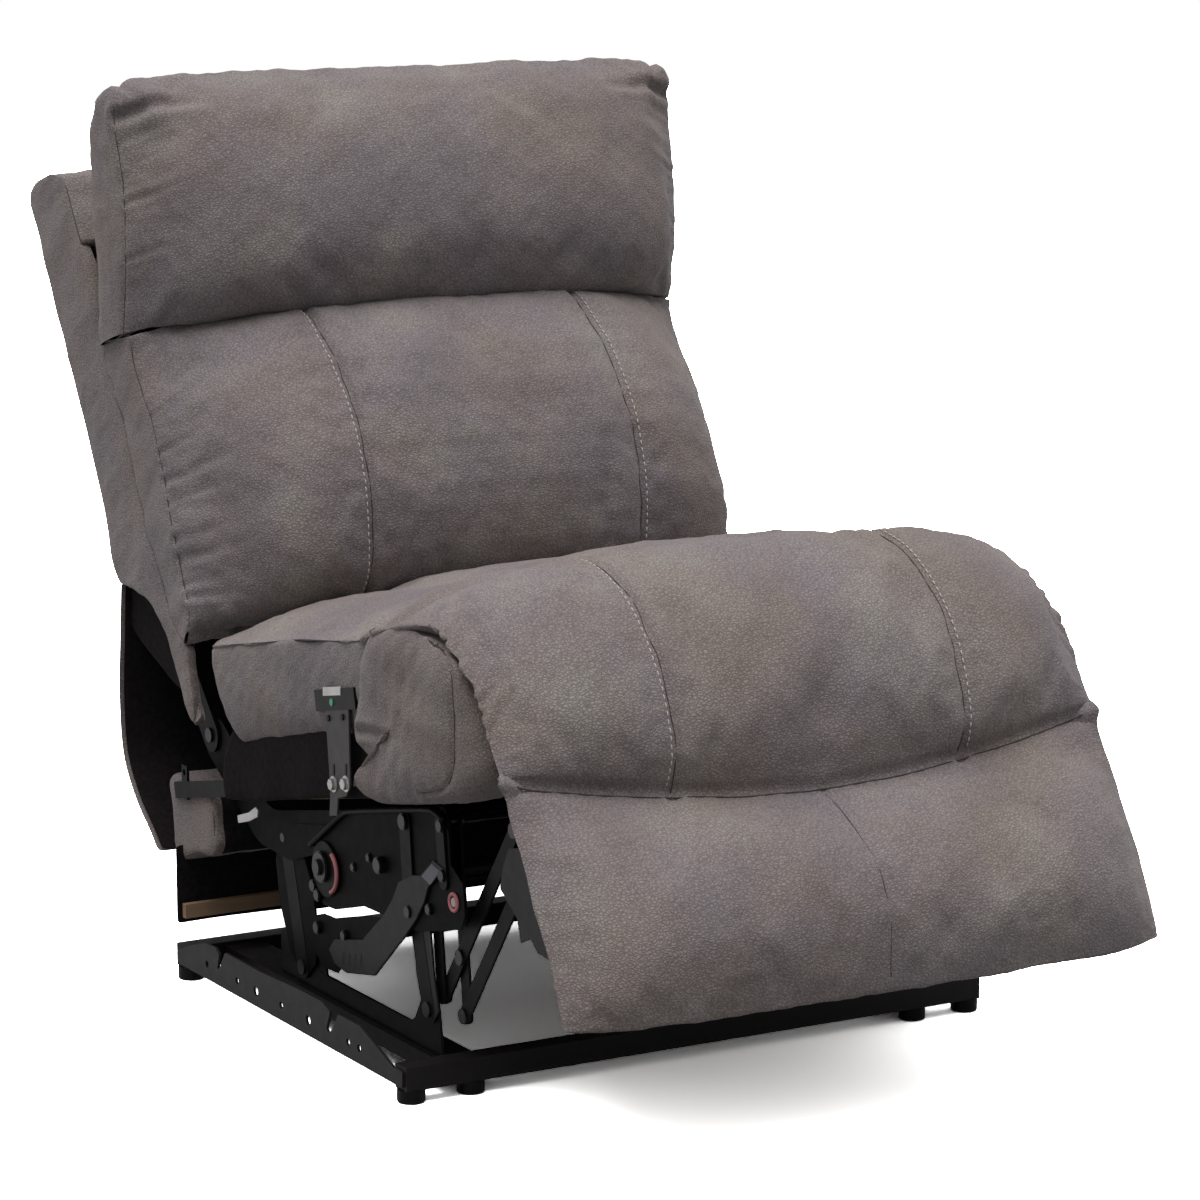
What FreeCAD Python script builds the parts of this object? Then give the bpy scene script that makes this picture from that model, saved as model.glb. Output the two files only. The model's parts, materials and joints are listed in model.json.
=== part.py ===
"""Armless power recliner seat unit: steel base and linkages, seat, back, headrest and footrest.

Millimetres and degrees. -Y is the front, +Z is up, and +X is the sitter's left. The origin is on
the floor at the centre of the whole unit's footprint box. Outlines are drawn in the YZ plane. The
pieces that come in pairs are modelled at -X and mirrored; the names say left for -X, as seen by
someone facing the unit.
"""
import FreeCAD, Part
import math
import os

import Sketcher

V = FreeCAD.Vector
X_AXIS = V(1, 0, 0)

doc = FreeCAD.newDocument("ReclinerUnit")

# ---------------------------------------------------------------- driving dimensions
SIZES = [
    ("tube_size", 25.0, "square base tube"),
    ("foot_height", 14.0, "glide height"),
    ("foot_radius", 14.5, "glide radius"),
    ("foot_chamfer", 1.5, "chamfer round the bottom of a glide"),
    ("frame_half_width", 347.0, "half length of the base tubes"),
    ("bracket_gauge", 3.0, "arm bracket thickness"),
    ("arm_hole", 5.5, "radius of an arm bolt hole"),
    ("small_hole", 4.0, "radius of a jig hole in an arm bracket"),
    ("front_tube_y", -276.5, "front tube centre"),
    ("rear_tube_y", 253.5, "rear tube centre"),
    ("rail_inner_x", 254.0, "inner edge of a base rail"),
    ("rail_outer_x", 300.0, "outer edge of a base rail"),
    ("rail_height", 18.0, "depth of a base rail"),
    ("rail_gauge", 3.0, "base rail sheet thickness"),
    ("plate_gauge", 3.0, "linkage plate thickness"),
    ("plate_gap", 0.5, "side clearance between linkage plates"),
    ("seat_plate_x", 300.0, "outer face of the seat side plates"),
    ("link_half_width", 13.0, "half width of a swing link"),
    ("bar_half_width", 9.0, "half width of a footrest link"),
    ("pin_radius", 5.0, "linkage pin"),
    ("pin_clearance", 0.06, "radial clearance of a pin in its hole"),
    ("head_radius", 8.0, "pin head"),
    ("head_height", 2.5, "pin head"),
    ("swing_run", 40.0, "rearward lean of a swing link"),
    ("swing_rise", 134.0, "height of a swing link"),
    ("torque_tube_radius", 11.0, "swing torque tube"),
    ("tube_wall", 2.0, "wall of the torque tube"),
    ("cross_tube_radius", 8.0, "footrest cross tube"),
    ("knee_run", 22.0, "forward reach of the footrest links"),
    ("knee_drop", 198.0, "drop of the footrest links"),
    ("link_pitch", 60.0, "spacing of the two seat pivots of a footrest linkage"),
    ("upper_share", 0.7, "upper footrest pivots as a share of the link"),
    ("seat_tilt", 12.0, "seat slope"),
    ("back_tilt", 22.4, "slope of the back frame from upright"),
    ("board_tilt", 25.0, "slope of the footrest board from upright"),
    ("timber", 22.0, "rail and post thickness"),
    ("seat_half_width", 330.0, "half width of the seat cushion"),
    ("soft_half_width", 345.0, "half width of back, head and footrest"),
    ("wire_radius", 2.0, "spring wire"),
    ("spring_bend", 16.0, "radius of a bend of a spring"),
    ("spring_run", 26.0, "straight run of a spring between its bends"),
    ("seat_spring_span", 460.0, "first to last seat spring"),
    ("back_spring_span", 330.0, "first to last back spring"),
    ("cloth_gauge", 1.5, "dust cloth"),
    ("flap_gauge", 3.0, "stiff cloth flap"),
    ("batten_gauge", 8.0, "batten of the flap"),
    ("board_gauge", 15.0, "footrest board"),
    ("button_travel", 1.5, "push button stroke"),
    ("fit_gap", 0.3, "clearance between soft pieces and their neighbours"),
]

sheet = doc.addObject("Spreadsheet::Sheet", "Sizes")
for row, (alias, number, note) in enumerate(SIZES, start=1):
    sheet.set("A%d" % row, alias)
    sheet.set("B%d" % row, str(number))
    sheet.setAlias("B%d" % row, alias)
    sheet.set("C%d" % row, note)
doc.recompute()


def size(alias):
    """Value of a driving dimension, read from the sheet."""
    return float(sheet.get(alias))


# ---------------------------------------------------------------- pivots, as (y, z)
SEAT_CORNER = (117.0, 296.0)      # lower rear corner of the seat frame
BACK_LINE = (410.0, 407.0)        # foot of the rear face of the back frame
FRONT_SWING_TOP = (-199.0, 215.0)
REAR_SWING_TOP = (91.0, 190.0)
BACK_PIVOT = (263.0, 270.0)
FOOTREST_POLE = (-389.0, 440.0)   # centre that the footrest turns about
DRIVE_PIVOT = (-275.0, 285.0)     # seat pivot of the long footrest links
HEAD_PIVOT = (430.0, 702.0)

# ---------------------------------------------------------------- linkage layers, counted inwards
SEAT = 0
SWING = 1
STAND = 2
GUIDE = 3
BARS = 4
DRIVE = 5

# ---------------------------------------------------------------- places and outlines, as (y, z)
RAIL_TOP = size("foot_height") + size("tube_size") - 4
ARM_HOLES = (-71.0, 56.0)          # y of the two arm bolts
SMALL_HOLES = (-189.0, -164.0, -6.0, 103.0, 180.0)
ARM_HOLE_LEVEL = 35.0

ARM_BRACKET_OUTLINE = [
    (-285, 35, 2), (-265, 35, 6), (-192, 59, 8), (-142, 59, 3), (-122, 34, 3), (-113, 35, 3),
    (-123, 57, 3), (-104, 63, 4), (-52, 63, 6), (45, 59, 6), (133, 59, 3), (146, 41, 3), (155, 32, 3),
    (148, 53, 3), (158, 59, 4), (184, 58, 6), (224, 46, 6), (257, 33, 2),
]

# Seat timber, ahead of and above the seat corner along the seat's slope
RAIL_LOW = -66.0
RAIL_HIGH = 20.0
RAIL_REAR = -30.0
RAIL_FRONT = 395.0
ARM_REAR = -212.0
ARM_LOW = -62.0
ARM_DEPTH = 18.0
APRON_FRONT = 237.0
APRON_LOW = -72.0
BLOCK_CORNERS = [(224, 209, 8), (336, 212, 10), (323, 122, 8), (216, 149, 8)]
VALANCE_Y = 300.0
VALANCE_LOW = 50.0
VALANCE_HIGH = 127.0
BATTEN_INSET = 6.0
RAIL_COVER = 5.0                   # padding of the lower rear rail outside its arms
RAIL_WIDTH = "2 * (Sizes.seat_plate_x + Sizes.timber + Sizes.plate_gauge + %f)" % RAIL_COVER

# Front roll of the seat and the chaise pad over it, from the footrest pole
ROLL_FRONT = FOOTREST_POLE[0] - 4
ROLL_TOP = FOOTREST_POLE[1] + 64
PAD_TOP = 545.0
BRIDGE_LOW = 28.0                  # lower edge of the bridge, degrees above straight ahead
PAD_INNER = 64.0                   # inner radius of the bridge
PAD_OUTER = 98.0                   # outer radius at the bridge's lower edge
BRIDGE_CREST = [(-461, 502), (-423, 529)]
FOOTREST_FRONT = [
    (-486, 470, 20), (-506, 430, 40), (-519, 388, 30), (-517, 338, 6), (-581, 305, 40), (-627, 255, 40),
    (-642, 209, 40), (-641, 178, 20), (-632, 155, 10),
]
PAD_BACK = (-452, 405, 30)
BOARD_TOP = (-482.0, 352.0)
BOARD_LENGTH = 215.0
BRACKET_TOP = 8.0
BRACKET_LENGTH = 170.0

# Switch and its buttons, along and above the seat's slope
SWITCH_AHEAD = 245.0
SWITCH_STRIP = 36.0
CRANK = -14.0
SWITCH_LENGTH = 92.0
SWITCH_LOW = 27.0
SWITCH_DEPTH = 22.0
SWITCH_WIDTH = 18.0
BUTTON_NAMES = ("button_recline", "button_return", "button_head_up", "button_head_down")
BUTTON_EDGE = 8.0
BUTTON_STEP = 20.0
BUTTON_LENGTH = 16.0
BUTTON_WIDTH = 12.0
BUTTON_DEPTH = 8.0
BUTTON_PROUD = 2.5

TUBE_SHARE = 0.25                  # cross tube's place down the drive links

# Drive: the carriage runs square to its lugs when they stand half open
LUG_REACH = 85.0
MID_OPENING = 18.0
CARRIAGE_REST = -30.2
MOTOR_FRONT = -225.0
MOTOR_LENGTH = 62.0
RAIL_HALF = 9.0

# Back: cover outlines, and the frame up and ahead of the back line
SHELL_FOOT = [(209, 297, 4), (233, 381)]
SHELL_TOP = [(450, 722), (537, 864, 12), (596, 854, 30), (643, 842, 12), (646, 822, 14)]
SHELL_REAR = [(563, 694, 500), (465, 524, 500)]
SHELL_HEM = [(415.5, 420, 3), (335, 417, 6), (301, 397, 10), (225, 298, 4)]
SHELL_HOLLOW = [(180, 270), (180, 500), (470, 800), (538, 786), (541, 756)]
SHELL_HOLLOW_FOOT = [(385, 378), (300, 270)]
LUMBAR_FRONT = [
    (225, 396, 20), (136, 442, 30), (126, 490, 60), (127, 545, 80), (147, 610, 80), (200, 680, 80),
    (275, 733, 18), (392, 699, 12), (398, 655, 20),
]
SKIRT_LINE = [(417.5, 418.8), (423, 352), (429, 283), (418, 215), (387, 176), (341, 140), (327.6, 127)]
HEAD_FRONT = [
    (300, 760, 25), (272, 800, 60), (288, 860, 60), (322, 925, 60), (375, 972, 50), (428, 984, 30),
    (458, 952, 15),
]
HEAD_BASE = (400, 722, 10)
BACK_SEAM = [(250, 467), (283, 489), (325, 549), (386, 608), (428, 686)]
POST_LOW = -60.0
POST_HIGH = 375.0
POST_REAR = 16.0
POST_DEEP = 45.0
TOP_RAIL_LOW = 315.0
BACK_RAIL_DEPTH = 50.0
HINGE_X = 200.0
LEVER_ARM = 40.0
HEAD_BOARD_FOOT = (437.0, 731.0)
HEAD_BOARD_TOP = (458.0, 926.0)
HEAD_BOARD_GAUGE = 12.0
HEAD_DRIVE_LENGTH = 262.0


def shifted(point, dy, dz):
    """Point moved by dy and dz."""
    return (point[0] + dy, point[1] + dz)


def along(start, end, share):
    """Point at a share of the way from start to end."""
    return (start[0] + share * (end[0] - start[0]), start[1] + share * (end[1] - start[1]))


def swing_foot(top):
    """Lower pivot of the swing link that hangs from top."""
    return shifted(top, -size("swing_run"), -size("swing_rise"))


FRONT_SWING_FOOT = swing_foot(FRONT_SWING_TOP)
REAR_SWING_FOOT = swing_foot(REAR_SWING_TOP)
KNEE = shifted(DRIVE_PIVOT, -size("knee_run"), -size("knee_drop"))
ELBOW = along(DRIVE_PIVOT, KNEE, size("upper_share"))
REST_LOWER = shifted(FOOTREST_POLE, -size("knee_run"), -size("knee_drop"))
REST_UPPER = along(FOOTREST_POLE, REST_LOWER, size("upper_share"))


def bar_direction():
    """Unit vector from the knee towards the footrest."""
    dy = FOOTREST_POLE[0] - DRIVE_PIVOT[0]
    dz = FOOTREST_POLE[1] - DRIVE_PIVOT[1]
    span = math.hypot(dy, dz)
    return (dy / span, dz / span)


BAR_WAY = bar_direction()
GUIDE_PIVOT = shifted(DRIVE_PIVOT, -size("link_pitch") * BAR_WAY[0], -size("link_pitch") * BAR_WAY[1])
GUIDE_ELBOW = shifted(ELBOW, -size("link_pitch") * BAR_WAY[0], -size("link_pitch") * BAR_WAY[1])


def seat_point(ahead, up):
    """Point of the tilted seat: ahead along its slope, up square to it."""
    turn = math.radians(size("seat_tilt"))
    y = SEAT_CORNER[0] - ahead * math.cos(turn) + up * math.sin(turn)
    z = SEAT_CORNER[1] + ahead * math.sin(turn) + up * math.cos(turn)
    return (y, z)


def back_point(up, ahead):
    """Point of the sloped back: up along its rear line, ahead square to it."""
    turn = math.radians(size("back_tilt"))
    y = BACK_LINE[0] + up * math.sin(turn) - ahead * math.cos(turn)
    z = BACK_LINE[1] + up * math.cos(turn) + ahead * math.sin(turn)
    return (y, z)


def board_point(down, behind):
    """Point of the footrest board: down along its front face, behind square to it."""
    turn = math.radians(size("board_tilt"))
    y = BOARD_TOP[0] - down * math.sin(turn) + behind * math.cos(turn)
    z = BOARD_TOP[1] - down * math.cos(turn) - behind * math.sin(turn)
    return (y, z)


# ---------------------------------------------------------------- drawing helpers
def unit(start, end):
    """Unit vector from start to end, and the distance."""
    step = end.sub(start)
    return step.normalize(), end.distanceToPoint(start)


def rounded_edges(corners):
    """Lines and arcs of a closed polygon of (y, z) or (y, z, radius) corners."""
    count = len(corners)
    spots = [V(corner[0], corner[1], 0) for corner in corners]
    trims = []
    for i in range(count):
        radius = corners[i][2] if len(corners[i]) > 2 else 0.0
        back, back_length = unit(spots[i], spots[i - 1])
        ahead, ahead_length = unit(spots[i], spots[(i + 1) % count])
        if radius <= 0:
            trims.append((spots[i], None, spots[i]))
            continue
        half = back.getAngle(ahead) / 2
        reach = min(radius / math.tan(half), 0.49 * back_length, 0.49 * ahead_length)
        arc_radius = reach * math.tan(half)
        bisector = (back + ahead).normalize()
        centre = spots[i] + bisector * (arc_radius / math.sin(half))
        trims.append((spots[i] + back * reach, centre - bisector * arc_radius, spots[i] + ahead * reach))
    edges = []
    for i in range(count):
        enter, middle, leave = trims[i]
        if middle is not None:
            edges.append(Part.Arc(enter, middle, leave))
        edges.append(Part.LineSegment(leave, trims[(i + 1) % count][0]))
    return edges


def strap_edges(points, half_width):
    """Outline of a straight or bent strap with round ends through the (y, z) points."""
    spots = [V(point[0], point[1], 0) for point in points]
    ways = [unit(spots[i], spots[i + 1])[0] for i in range(len(spots) - 1)]
    sides = [V(-way.y, way.x, 0) for way in ways]

    def edge_row(sign):
        row = [spots[0] + sides[0] * (sign * half_width)]
        for i in range(1, len(ways)):
            middle = (sides[i - 1] + sides[i]).normalize()
            row.append(spots[i] + middle * (sign * half_width / middle.dot(sides[i])))
        row.append(spots[-1] + sides[-1] * (sign * half_width))
        return row

    left = edge_row(1)
    right = edge_row(-1)
    edges = [Part.LineSegment(left[i], left[i + 1]) for i in range(len(left) - 1)]
    edges.append(Part.Arc(left[-1], spots[-1] + ways[-1] * half_width, right[-1]))
    edges += [Part.LineSegment(right[i + 1], right[i]) for i in reversed(range(len(right) - 1))]
    edges.append(Part.Arc(right[0], spots[0] - ways[0] * half_width, left[0]))
    return edges


def origin_plane(body, role):
    """One of the body's own origin planes."""
    for feature in body.Origin.OriginFeatures:
        if feature.Role == role:
            return feature
    raise ValueError(role)


def side_sketch(body, name):
    """Sketch in the body's YZ plane: sketch x is Y, sketch y is Z."""
    sketch = body.newObject("Sketcher::SketchObject", name)
    sketch.AttachmentSupport = (origin_plane(body, "YZ_Plane"), [""])
    sketch.MapMode = "FlatFace"
    return sketch


def add_holes(sketch, holes):
    """Circles at the (y, z, radius expression, radius) entries, each radius bound to the sheet."""
    for y, z, formula, radius in holes:
        index = sketch.addGeometry(Part.Circle(V(y, z, 0), V(0, 0, 1), radius), False)
        rule = sketch.addConstraint(Sketcher.Constraint("Radius", index, radius))
        sketch.setExpression("Constraints[%d]" % rule, formula)


def pin_hole(point):
    """Running hole for a linkage pin."""
    radius = size("pin_radius") + size("pin_clearance")
    return (point[0], point[1], "Sizes.pin_radius + Sizes.pin_clearance", radius)


def tight_hole(point):
    """Hole that a riveted pin fills."""
    return (point[0], point[1], "Sizes.pin_radius", size("pin_radius"))


def profile_body(label, edges, holes, length_formula, x_formula, midplane=False):
    """Body padded along X from an outline in the YZ plane."""
    body = doc.addObject("PartDesign::Body", label)
    body.Label = label
    sketch = side_sketch(body, label + "_outline")
    sketch.addGeometry(edges, False)
    add_holes(sketch, holes)
    pad = body.newObject("PartDesign::Pad", label + "_pad")
    pad.Profile = sketch
    pad.Midplane = midplane
    pad.setExpression("Length", length_formula)
    body.setExpression("Placement.Base.x", x_formula)
    sketch.Visibility = False
    return body


def layer_formula(layer):
    """Outer face x of a linkage layer, counted inwards from the seat plates."""
    return "-(Sizes.seat_plate_x - %d * (Sizes.plate_gauge + Sizes.plate_gap))" % layer


def layer_face(layer):
    """Distance of a layer's outer face from the centre plane."""
    return size("seat_plate_x") - layer * (size("plate_gauge") + size("plate_gap"))


def linkage_plate(label, edges, holes, layer):
    """Flat linkage plate in one of the layers, on the -X side."""
    return profile_body(label, edges, holes, "Sizes.plate_gauge", layer_formula(layer))


def slab(label, corners, width_formula):
    """Closed solid with a rounded YZ profile, centred on the middle plane."""
    return profile_body(label, rounded_edges(corners), [], width_formula, "0", midplane=True)


def mirrored(source, label):
    """Right hand copy of a left hand piece."""
    copy = doc.addObject("Part::Mirroring", label)
    copy.Label = label
    copy.Source = source
    copy.Base = V(0, 0, 0)
    copy.Normal = X_AXIS
    return copy


def group(label, pieces):
    """One node that holds several separate solids."""
    node = doc.addObject("Part::Compound", label)
    node.Label = label
    node.Links = pieces
    return node


def pair(label, source):
    """Node of a left hand piece and its mirror image."""
    return group(label, [source, mirrored(source, label + "_mirror")])


def box(label, corner, extent, turn=0.0):
    """Box from its low corner, turned about X; an extent is a formula."""
    solid = doc.addObject("Part::Box", label)
    solid.Label = label
    for name, formula in zip(("Length", "Width", "Height"), extent):
        solid.setExpression(name, formula)
    solid.Placement = FreeCAD.Placement(V(*corner), FreeCAD.Rotation(X_AXIS, turn))
    return solid


def rod(label, start, formula_radius, formula_length, direction=X_AXIS):
    """Cylinder from start along a direction."""
    solid = doc.addObject("Part::Cylinder", label)
    solid.Label = label
    solid.setExpression("Radius", formula_radius)
    solid.setExpression("Height", formula_length)
    solid.Placement = FreeCAD.Placement(V(*start), FreeCAD.Rotation(V(0, 0, 1), direction))
    return solid


def fuse(label, shapes):
    """Several solids made into one."""
    joined = doc.addObject("Part::MultiFuse", label)
    joined.Label = label
    joined.Shapes = shapes
    joined.Refine = True
    return joined


def cut(label, base, tool):
    """One solid less another."""
    result = doc.addObject("Part::Cut", label)
    result.Label = label
    result.Base = base
    result.Tool = tool
    result.Refine = True
    return result


def feature(label, shape):
    """Node whose shape is computed here from the sheet's values."""
    node = doc.addObject("Part::Feature", label)
    node.Label = label
    node.Shape = shape
    return node


def rivet(point, first_face, last_face):
    """Headed pin along X on the -X side, between two distances from the centre plane.

    The pin starts flush in the plate at first_face and its head lies just past last_face.
    """
    outward = 1.0 if last_face > first_face else -1.0
    head_start = last_face + outward * size("plate_gap") / 2
    shank = Part.makeCylinder(size("pin_radius"), abs(head_start - first_face),
                              V(-first_face, point[0], point[1]), V(-outward, 0, 0))
    head = Part.makeCylinder(size("head_radius"), size("head_height"),
                             V(-head_start, point[0], point[1]), V(-outward, 0, 0))
    return shank.fuse(head).removeSplitter()


def both_sides(shapes):
    """The -X shapes with their mirror images, as one compound."""
    flipped = [shape.mirror(V(0, 0, 0), X_AXIS) for shape in shapes]
    return Part.makeCompound(shapes + flipped)


# ---------------------------------------------------------------- base
def foot_glides():
    feet = []
    outer = size("frame_half_width") + size("bracket_gauge") - size("foot_radius")
    inner = (size("rail_inner_x") + size("rail_outer_x")) / 2 - 9
    for x in (-outer, -inner, inner, outer):
        for y in (size("front_tube_y"), size("rear_tube_y")):
            foot = Part.makeCylinder(size("foot_radius"), size("foot_height"), V(x, y, 0))
            lower_edges = [edge for edge in foot.Edges if edge.CenterOfMass.z < 0.1]
            feet.append(foot.makeChamfer(size("foot_chamfer"), lower_edges))
    return feature("foot_glides", Part.makeCompound(feet))


def base_tube(label, centre):
    corner = (-size("frame_half_width"), size(centre) - size("tube_size") / 2, size("foot_height"))
    return box(label, corner, ("2 * Sizes.frame_half_width", "Sizes.tube_size", "Sizes.tube_size"))


def base_rails():
    """Inverted channel that joins the two tubes."""
    front = size("front_tube_y") + size("tube_size") / 2
    rear = size("rear_tube_y") - size("tube_size") / 2
    top = RAIL_TOP
    gauge = size("rail_gauge")
    length = "%f" % (rear - front)
    web = box("rail_web", (-size("rail_outer_x"), front, top - gauge),
              ("Sizes.rail_outer_x - Sizes.rail_inner_x", length, "Sizes.rail_gauge"))
    outer = box("rail_outer_flange", (-size("rail_outer_x"), front, top - size("rail_height")),
                ("Sizes.rail_gauge", length, "Sizes.rail_height"))
    inner = box("rail_inner_flange", (-size("rail_inner_x") - gauge, front, top - size("rail_height")),
                ("Sizes.rail_gauge", length, "Sizes.rail_height"))
    return pair("base_rails", fuse("base_rail", [web, outer, inner]))


def base_stands():
    """Angle on each base rail that carries the two lower swing pivots."""
    front = FRONT_SWING_FOOT
    rear = REAR_SWING_FOOT
    floor = RAIL_TOP
    ear = 15.0
    corners = [
        (front[0] - 24, floor, 3),
        (front[0] - ear, front[1] + ear, ear),
        (front[0] + ear, front[1] + ear, ear),
        (front[0] + 40, floor + 22, 20),
        (rear[0] - 40, floor + 22, 20),
        (rear[0] - ear, rear[1] + ear, ear),
        (rear[0] + ear, rear[1] + ear, ear),
        (rear[0] + 22, floor, 3),
    ]
    holes = [tight_hole(front), tight_hole(rear)]
    web = linkage_plate("stand_web", rounded_edges(corners), holes, STAND)
    face = layer_face(STAND)
    flange = box("stand_flange", (-face, corners[0][0] + 4, floor),
                 ("24", "%f" % (corners[-1][0] - corners[0][0] - 8), "Sizes.plate_gauge"))
    return pair("base_stands", fuse("base_stand", [web, flange]))


def arm_bracket():
    """Flat hook bracket that a chair arm drops onto, left hand."""
    low = size("foot_height") + 4
    first = ARM_BRACKET_OUTLINE[0]
    last = ARM_BRACKET_OUTLINE[-1]
    corners = [(first[0], low, 2)] + ARM_BRACKET_OUTLINE + [(last[0], low, 2)]
    holes = [(y, ARM_HOLE_LEVEL, "Sizes.small_hole", size("small_hole")) for y in SMALL_HOLES]
    holes += [(y, ARM_HOLE_LEVEL, "Sizes.arm_hole", size("arm_hole")) for y in ARM_HOLES]
    outer_face = "-(Sizes.frame_half_width + Sizes.bracket_gauge)"
    return profile_body("arm_bracket_left", rounded_edges(corners), holes, "Sizes.bracket_gauge",
                        outer_face)


def hex_head(spot, way, radius, height):
    """Hexagon bolt head that stands on spot and points along way."""
    turns = [math.radians(angle) for angle in range(0, 361, 60)]
    ring = Part.makePolygon([V(radius * math.cos(turn), radius * math.sin(turn), 0) for turn in turns])
    cap = Part.Face(ring).extrude(V(0, 0, height))
    cap.Placement = FreeCAD.Placement(V(*spot), FreeCAD.Rotation(V(0, 0, 1), V(*way)))
    return cap


def base_fasteners():
    """Bolts that hold the stands, and the riveted lower swing pins."""
    parts = []
    stand_face = layer_face(STAND)
    for pivot in (FRONT_SWING_FOOT, REAR_SWING_FOOT):
        parts.append(rivet(pivot, stand_face - size("plate_gauge"), layer_face(SWING)))
    top = RAIL_TOP + size("plate_gauge")
    for y in (FRONT_SWING_FOOT[0] + 45, REAR_SWING_FOOT[0] - 45):
        parts.append(hex_head((-(stand_face - 15), y, top), (0, 0, 1), 6.0, 4.0))
    return feature("base_fasteners", both_sides(parts))


# ---------------------------------------------------------------- swing links
def swing_link(label, foot, top):
    half = size("link_half_width")
    return linkage_plate(label, strap_edges([foot, top], half), [pin_hole(foot), pin_hole(top)], SWING)


def swing_torque_tube():
    """Tube that ties the two rear swing links together."""
    middle = along(REAR_SWING_FOOT, REAR_SWING_TOP, 0.5)
    inner = layer_face(SWING) - size("plate_gauge")
    outer = rod("torque_tube_outer", (-inner, middle[0], middle[1]), "Sizes.torque_tube_radius",
                "2 * %f" % inner)
    bore = rod("torque_tube_bore", (-inner, middle[0], middle[1]),
               "Sizes.torque_tube_radius - Sizes.tube_wall", "2 * %f" % inner)
    return cut("swing_torque_tube", outer, bore)


# ---------------------------------------------------------------- seat frame
def seat_plate():
    """Steel side plate of the seat, left hand: carries every pivot of the mechanism."""
    drive = DRIVE_PIVOT
    back = BACK_PIVOT
    corners = [
        (drive[0] - 19, drive[1] + 19, 15), (-62, 252, 60), (120, 214, 60),
        (back[0] - 22, back[1] + 20, 18), (back[0] + 20, back[1] + 20, 19.5),
        (back[0] + 20, back[1] - 20, 19.5), (150, 172, 60),
        (REAR_SWING_TOP[0] - 20, REAR_SWING_TOP[1] - 21, 18), (-60, 212, 50),
        (FRONT_SWING_TOP[0] + 16, FRONT_SWING_TOP[1] - 17, 14),
        (FRONT_SWING_TOP[0] - 19, FRONT_SWING_TOP[1] - 17, 14),
        (drive[0] + 8, GUIDE_PIVOT[1] - 14, 14), (drive[0] - 19, drive[1] - 16, 14),
    ]
    pivots = (drive, GUIDE_PIVOT, FRONT_SWING_TOP, REAR_SWING_TOP, back)
    holes = [tight_hole(pivot) for pivot in pivots]
    return linkage_plate("seat_plate", rounded_edges(corners), holes, SEAT)


def tilted_box(label, x_low, x_high, ahead_low, ahead_high, up_low, up_high):
    """Box laid in the seat's slope."""
    corner = seat_point(ahead_high, up_low)
    extent = ("%f" % (x_high - x_low), "%f" % (ahead_high - ahead_low), "%f" % (up_high - up_low))
    return box(label, (x_low, corner[0], corner[1]), extent, -size("seat_tilt"))


def seat_rails():
    """Timber side, front and rear rails of the seat box."""
    thick = size("timber")
    inner = size("seat_plate_x")
    side = tilted_box("seat_side_rail", -inner - thick, -inner, RAIL_REAR, RAIL_FRONT, RAIL_LOW, RAIL_HIGH)
    pair("seat_side_rails", side)
    front = tilted_box("seat_front_rail", -inner - thick, inner + thick, RAIL_FRONT, RAIL_FRONT + thick,
                       RAIL_LOW, RAIL_HIGH)
    rear = tilted_box("seat_rear_rail", -inner, inner, RAIL_REAR, RAIL_REAR + thick,
                      RAIL_LOW, RAIL_HIGH)
    return [front, rear]


def sinuous_spring(length):
    """Wavy wire in the XY plane, from y 0 to about length and centred on x 0."""
    bend = size("spring_bend")
    half = size("spring_run") / 2
    bends = int(length // (2 * bend))
    y = (length - bends * 2 * bend) / 2
    side = -1.0
    edges = []
    for number in range(bends + 1):
        start = V(side * half if number > 0 else 0, y, 0)
        end = V(-side * half if number < bends else 0, y, 0)
        edges.append(Part.LineSegment(start, end).toShape())
        if number < bends:
            middle = V(-side * (half + bend), y + bend, 0)
            edges.append(Part.Arc(end, middle, V(-side * half, y + 2 * bend, 0)).toShape())
        y += 2 * bend
        side = -side
    ring = Part.Wire([Part.makeCircle(size("wire_radius"), edges[0].Vertexes[0].Point, X_AXIS)])
    return Part.Wire(edges).makePipeShell([ring], True, True)


def spring_set(label, count, span, length, origin, turn):
    """Row of springs side by side across X, laid on two rails."""
    springs = []
    for number in range(count):
        spring = sinuous_spring(length)
        x = -span / 2 + span * number / (count - 1)
        spring.Placement = FreeCAD.Placement(V(x, origin[0], origin[1]), FreeCAD.Rotation(X_AXIS, turn))
        springs.append(spring)
    return feature(label, Part.makeCompound(springs))


def seat_springs():
    start = seat_point(RAIL_FRONT + 12, RAIL_HIGH + size("wire_radius"))
    length = RAIL_FRONT - RAIL_REAR - 4
    return spring_set("seat_springs", 5, size("seat_spring_span"), length, start, -size("seat_tilt"))


def seat_cushion():
    gap = RAIL_HIGH + 2 * size("wire_radius") + size("fit_gap")
    front = ROLL_FRONT
    rail_face = RAIL_FRONT + size("timber") + size("fit_gap")
    corners = [
        seat_point(-38, gap), seat_point(-38, 102) + (12,), seat_point(60, 124) + (80,),
        seat_point(400, 128) + (60,), (front, ROLL_TOP, 40), (front, 396, 60),
        (front + 12, 344, 25), seat_point(453, RAIL_LOW) + (8,), seat_point(rail_face, RAIL_LOW),
        seat_point(rail_face, gap),
    ]
    return slab("seat_cushion", corners, "2 * Sizes.seat_half_width")


def seat_top_pad():
    """Upper part of the chaise pad, which lies on the seat."""
    lift = size("fit_gap")
    front = FOOTREST_POLE[0] + lift
    level = ROLL_TOP + lift
    corners = [
        seat_point(120, 127 + lift), seat_point(400, 128 + lift) + (40,), (-340, level), (front, level),
        (front, PAD_TOP), (-334, 549, 40), seat_point(300, 153) + (60,), seat_point(120, 136) + (3,),
    ]
    return slab("seat_top_pad", corners, "2 * Sizes.seat_half_width")


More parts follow.
